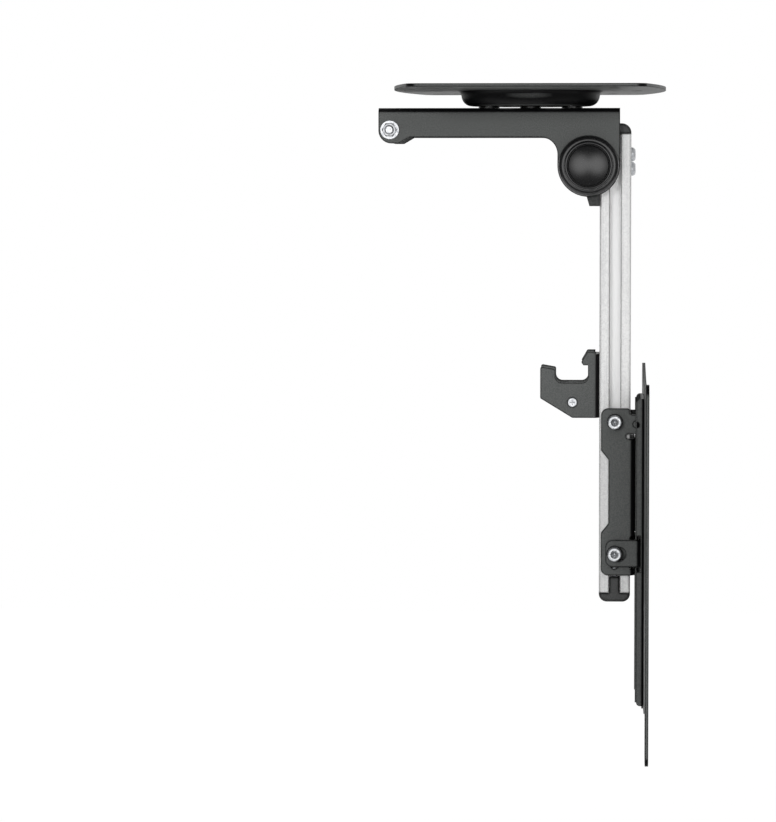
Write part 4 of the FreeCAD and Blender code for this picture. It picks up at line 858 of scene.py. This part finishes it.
def makeFloor():
    half, height = stage["floorSize"] / 2, stage["floorHeight"]
    front, back = stage["floorFront"], stage["floorFront"] + stage["floorSize"]
    mesh = bpy.data.meshes.new("floor")
    corners = [(-half, front, height), (half, front, height), (half, back, height),
               (-half, back, height)]
    mesh.from_pydata(corners, [], [(0, 1, 2, 3)])
    floor = bpy.data.objects.new("floor", mesh)
    bpy.context.scene.collection.objects.link(floor)
    kit = Finish(bpy.data.materials.new("paleFloor"))
    matt = kit.node("BsdfDiffuse", {}, {"Color": stage["floorColour"]})
    white = kit.node("Emission", {}, {"Color": (1.0, 1.0, 1.0, 1.0),
                                      "Strength": stage["white"]})
    share = seenDirectly(kit, stage["whiteInGloss"]) * stage["whiteShare"]
    mixed = kit.node("MixShader", {}, {0: share, 1: matt, 2: white})
    kit.node("OutputMaterial", {}, {"Surface": mixed})
    mesh.materials.append(kit.owner)


surround = {
    "back": 1.0,                    # white background
    "backFrom": (0.35, 0.75),       # a direction's share of +Y where the white starts and is full
    "sides": 0.10,                  # grey cloths at the sides, above and below
    "screens": 1.55,                # two soft screens beside the camera, for metal and gloss
    "screenTurn": 18.0,             # degrees to either side
    "screenLift": 0.04,
    "screenEdge": (24.0, 10.0),     # degrees off a screen's middle where it starts and is full
    "diffuse": 0.45,                # what matt surfaces get from all round
}


def makeSurround():
    world = bpy.data.worlds.new("studio")
    bpy.context.scene.world = world
    kit = Finish(world)
    towards = kit.node("TexCoord", out="Generated")
    depth = kit.node("SeparateXYZ", {}, {0: towards}, out="Y")
    behind = kit.ramp(depth, surround["backFrom"])
    turn = math.radians(surround["screenTurn"])
    edge = [math.cos(math.radians(angle)) for angle in surround["screenEdge"]]
    left, right = (kit.ramp(kit.dot(towards, (side * math.sin(turn), -math.cos(turn),
                                              surround["screenLift"])), edge)
                   for side in (-1, 1))
    sides = surround["sides"]
    mirrored = (left + right) * surround["screens"] + behind * (surround["back"] - sides) + sides
    camera = kit.node("LightPath", out="Is Camera Ray")
    glossy = camera.output("Is Glossy Ray")
    matt = 1.0 - camera.larger(glossy)
    level = camera + glossy * (1.0 - camera) * mirrored + matt * surround["diffuse"]
    light = kit.node("Background", {}, {"Color": (1.0, 1.0, 1.0, 1.0), "Strength": level})
    kit.node("OutputWorld", {}, {"Surface": light})


lamps = {
    "leftScreen": {"at": (-0.62, -2.2, 0.35), "size": 0.3, "watts": 19.0},
    "rightScreen": {"at": (0.75, -2.2, 0.15), "size": 0.8, "watts": 8.0},
    "topScreen": {"at": (0.0, -1.6, 1.3), "size": 0.9, "watts": 5.0},
    "sideScreen": {"at": (2.3, -0.6, 0.3), "size": 1.2, "watts": 9.0},
    "backScreen": {"at": (-0.9, 2.2, 0.6), "size": 1.6, "watts": 18.0},
}


def makeLamps():
    target = (Vector(cadBox[0]) + Vector(cadBox[1])) / 2
    for name, facts in lamps.items():
        lamp = bpy.data.lights.new(name, "AREA")
        lamp.shape = "SQUARE"
        lamp.size = facts["size"]
        lamp.energy = facts["watts"]
        holder = bpy.data.objects.new(name, lamp)
        holder.location = facts["at"]
        aim = target - Vector(facts["at"])
        holder.rotation_euler = aim.to_track_quat("-Z", "Y").to_euler()
        holder.visible_glossy = False     # gloss and metal see the surround's screens instead
        bpy.context.scene.collection.objects.link(holder)


viewpoint = {
    "at": (0.04919, -1.94324, -0.04961),
    "pixelsPerRadian": 3094.7,
    "turnLeft": 0.05006,            # radians
    "tiltDown": 0.05746,
    "frame": (776, 822),            # pixels
    "shift": -0.08,                 # across and up, in shares of the long side
    "sensor": 36.0,                 # millimetres
    "clipEnd": 50.0,
}


def makeCamera():
    camera = bpy.data.cameras.new("camera")
    camera.sensor_width = viewpoint["sensor"]
    camera.lens = viewpoint["pixelsPerRadian"] * viewpoint["sensor"] / max(viewpoint["frame"])
    camera.shift_x = viewpoint["shift"]
    camera.shift_y = viewpoint["shift"]
    camera.clip_end = viewpoint["clipEnd"]
    holder = bpy.data.objects.new("camera", camera)
    holder.location = viewpoint["at"]
    holder.rotation_euler = (math.pi / 2 - viewpoint["tiltDown"], 0.0, viewpoint["turnLeft"])
    bpy.context.scene.collection.objects.link(holder)
    bpy.context.scene.camera = holder


makeFloor()
makeSurround()
makeLamps()
makeCamera()
bpy.context.scene.view_settings.view_transform = "Standard"
print("floor, surround, lamps and camera are set")
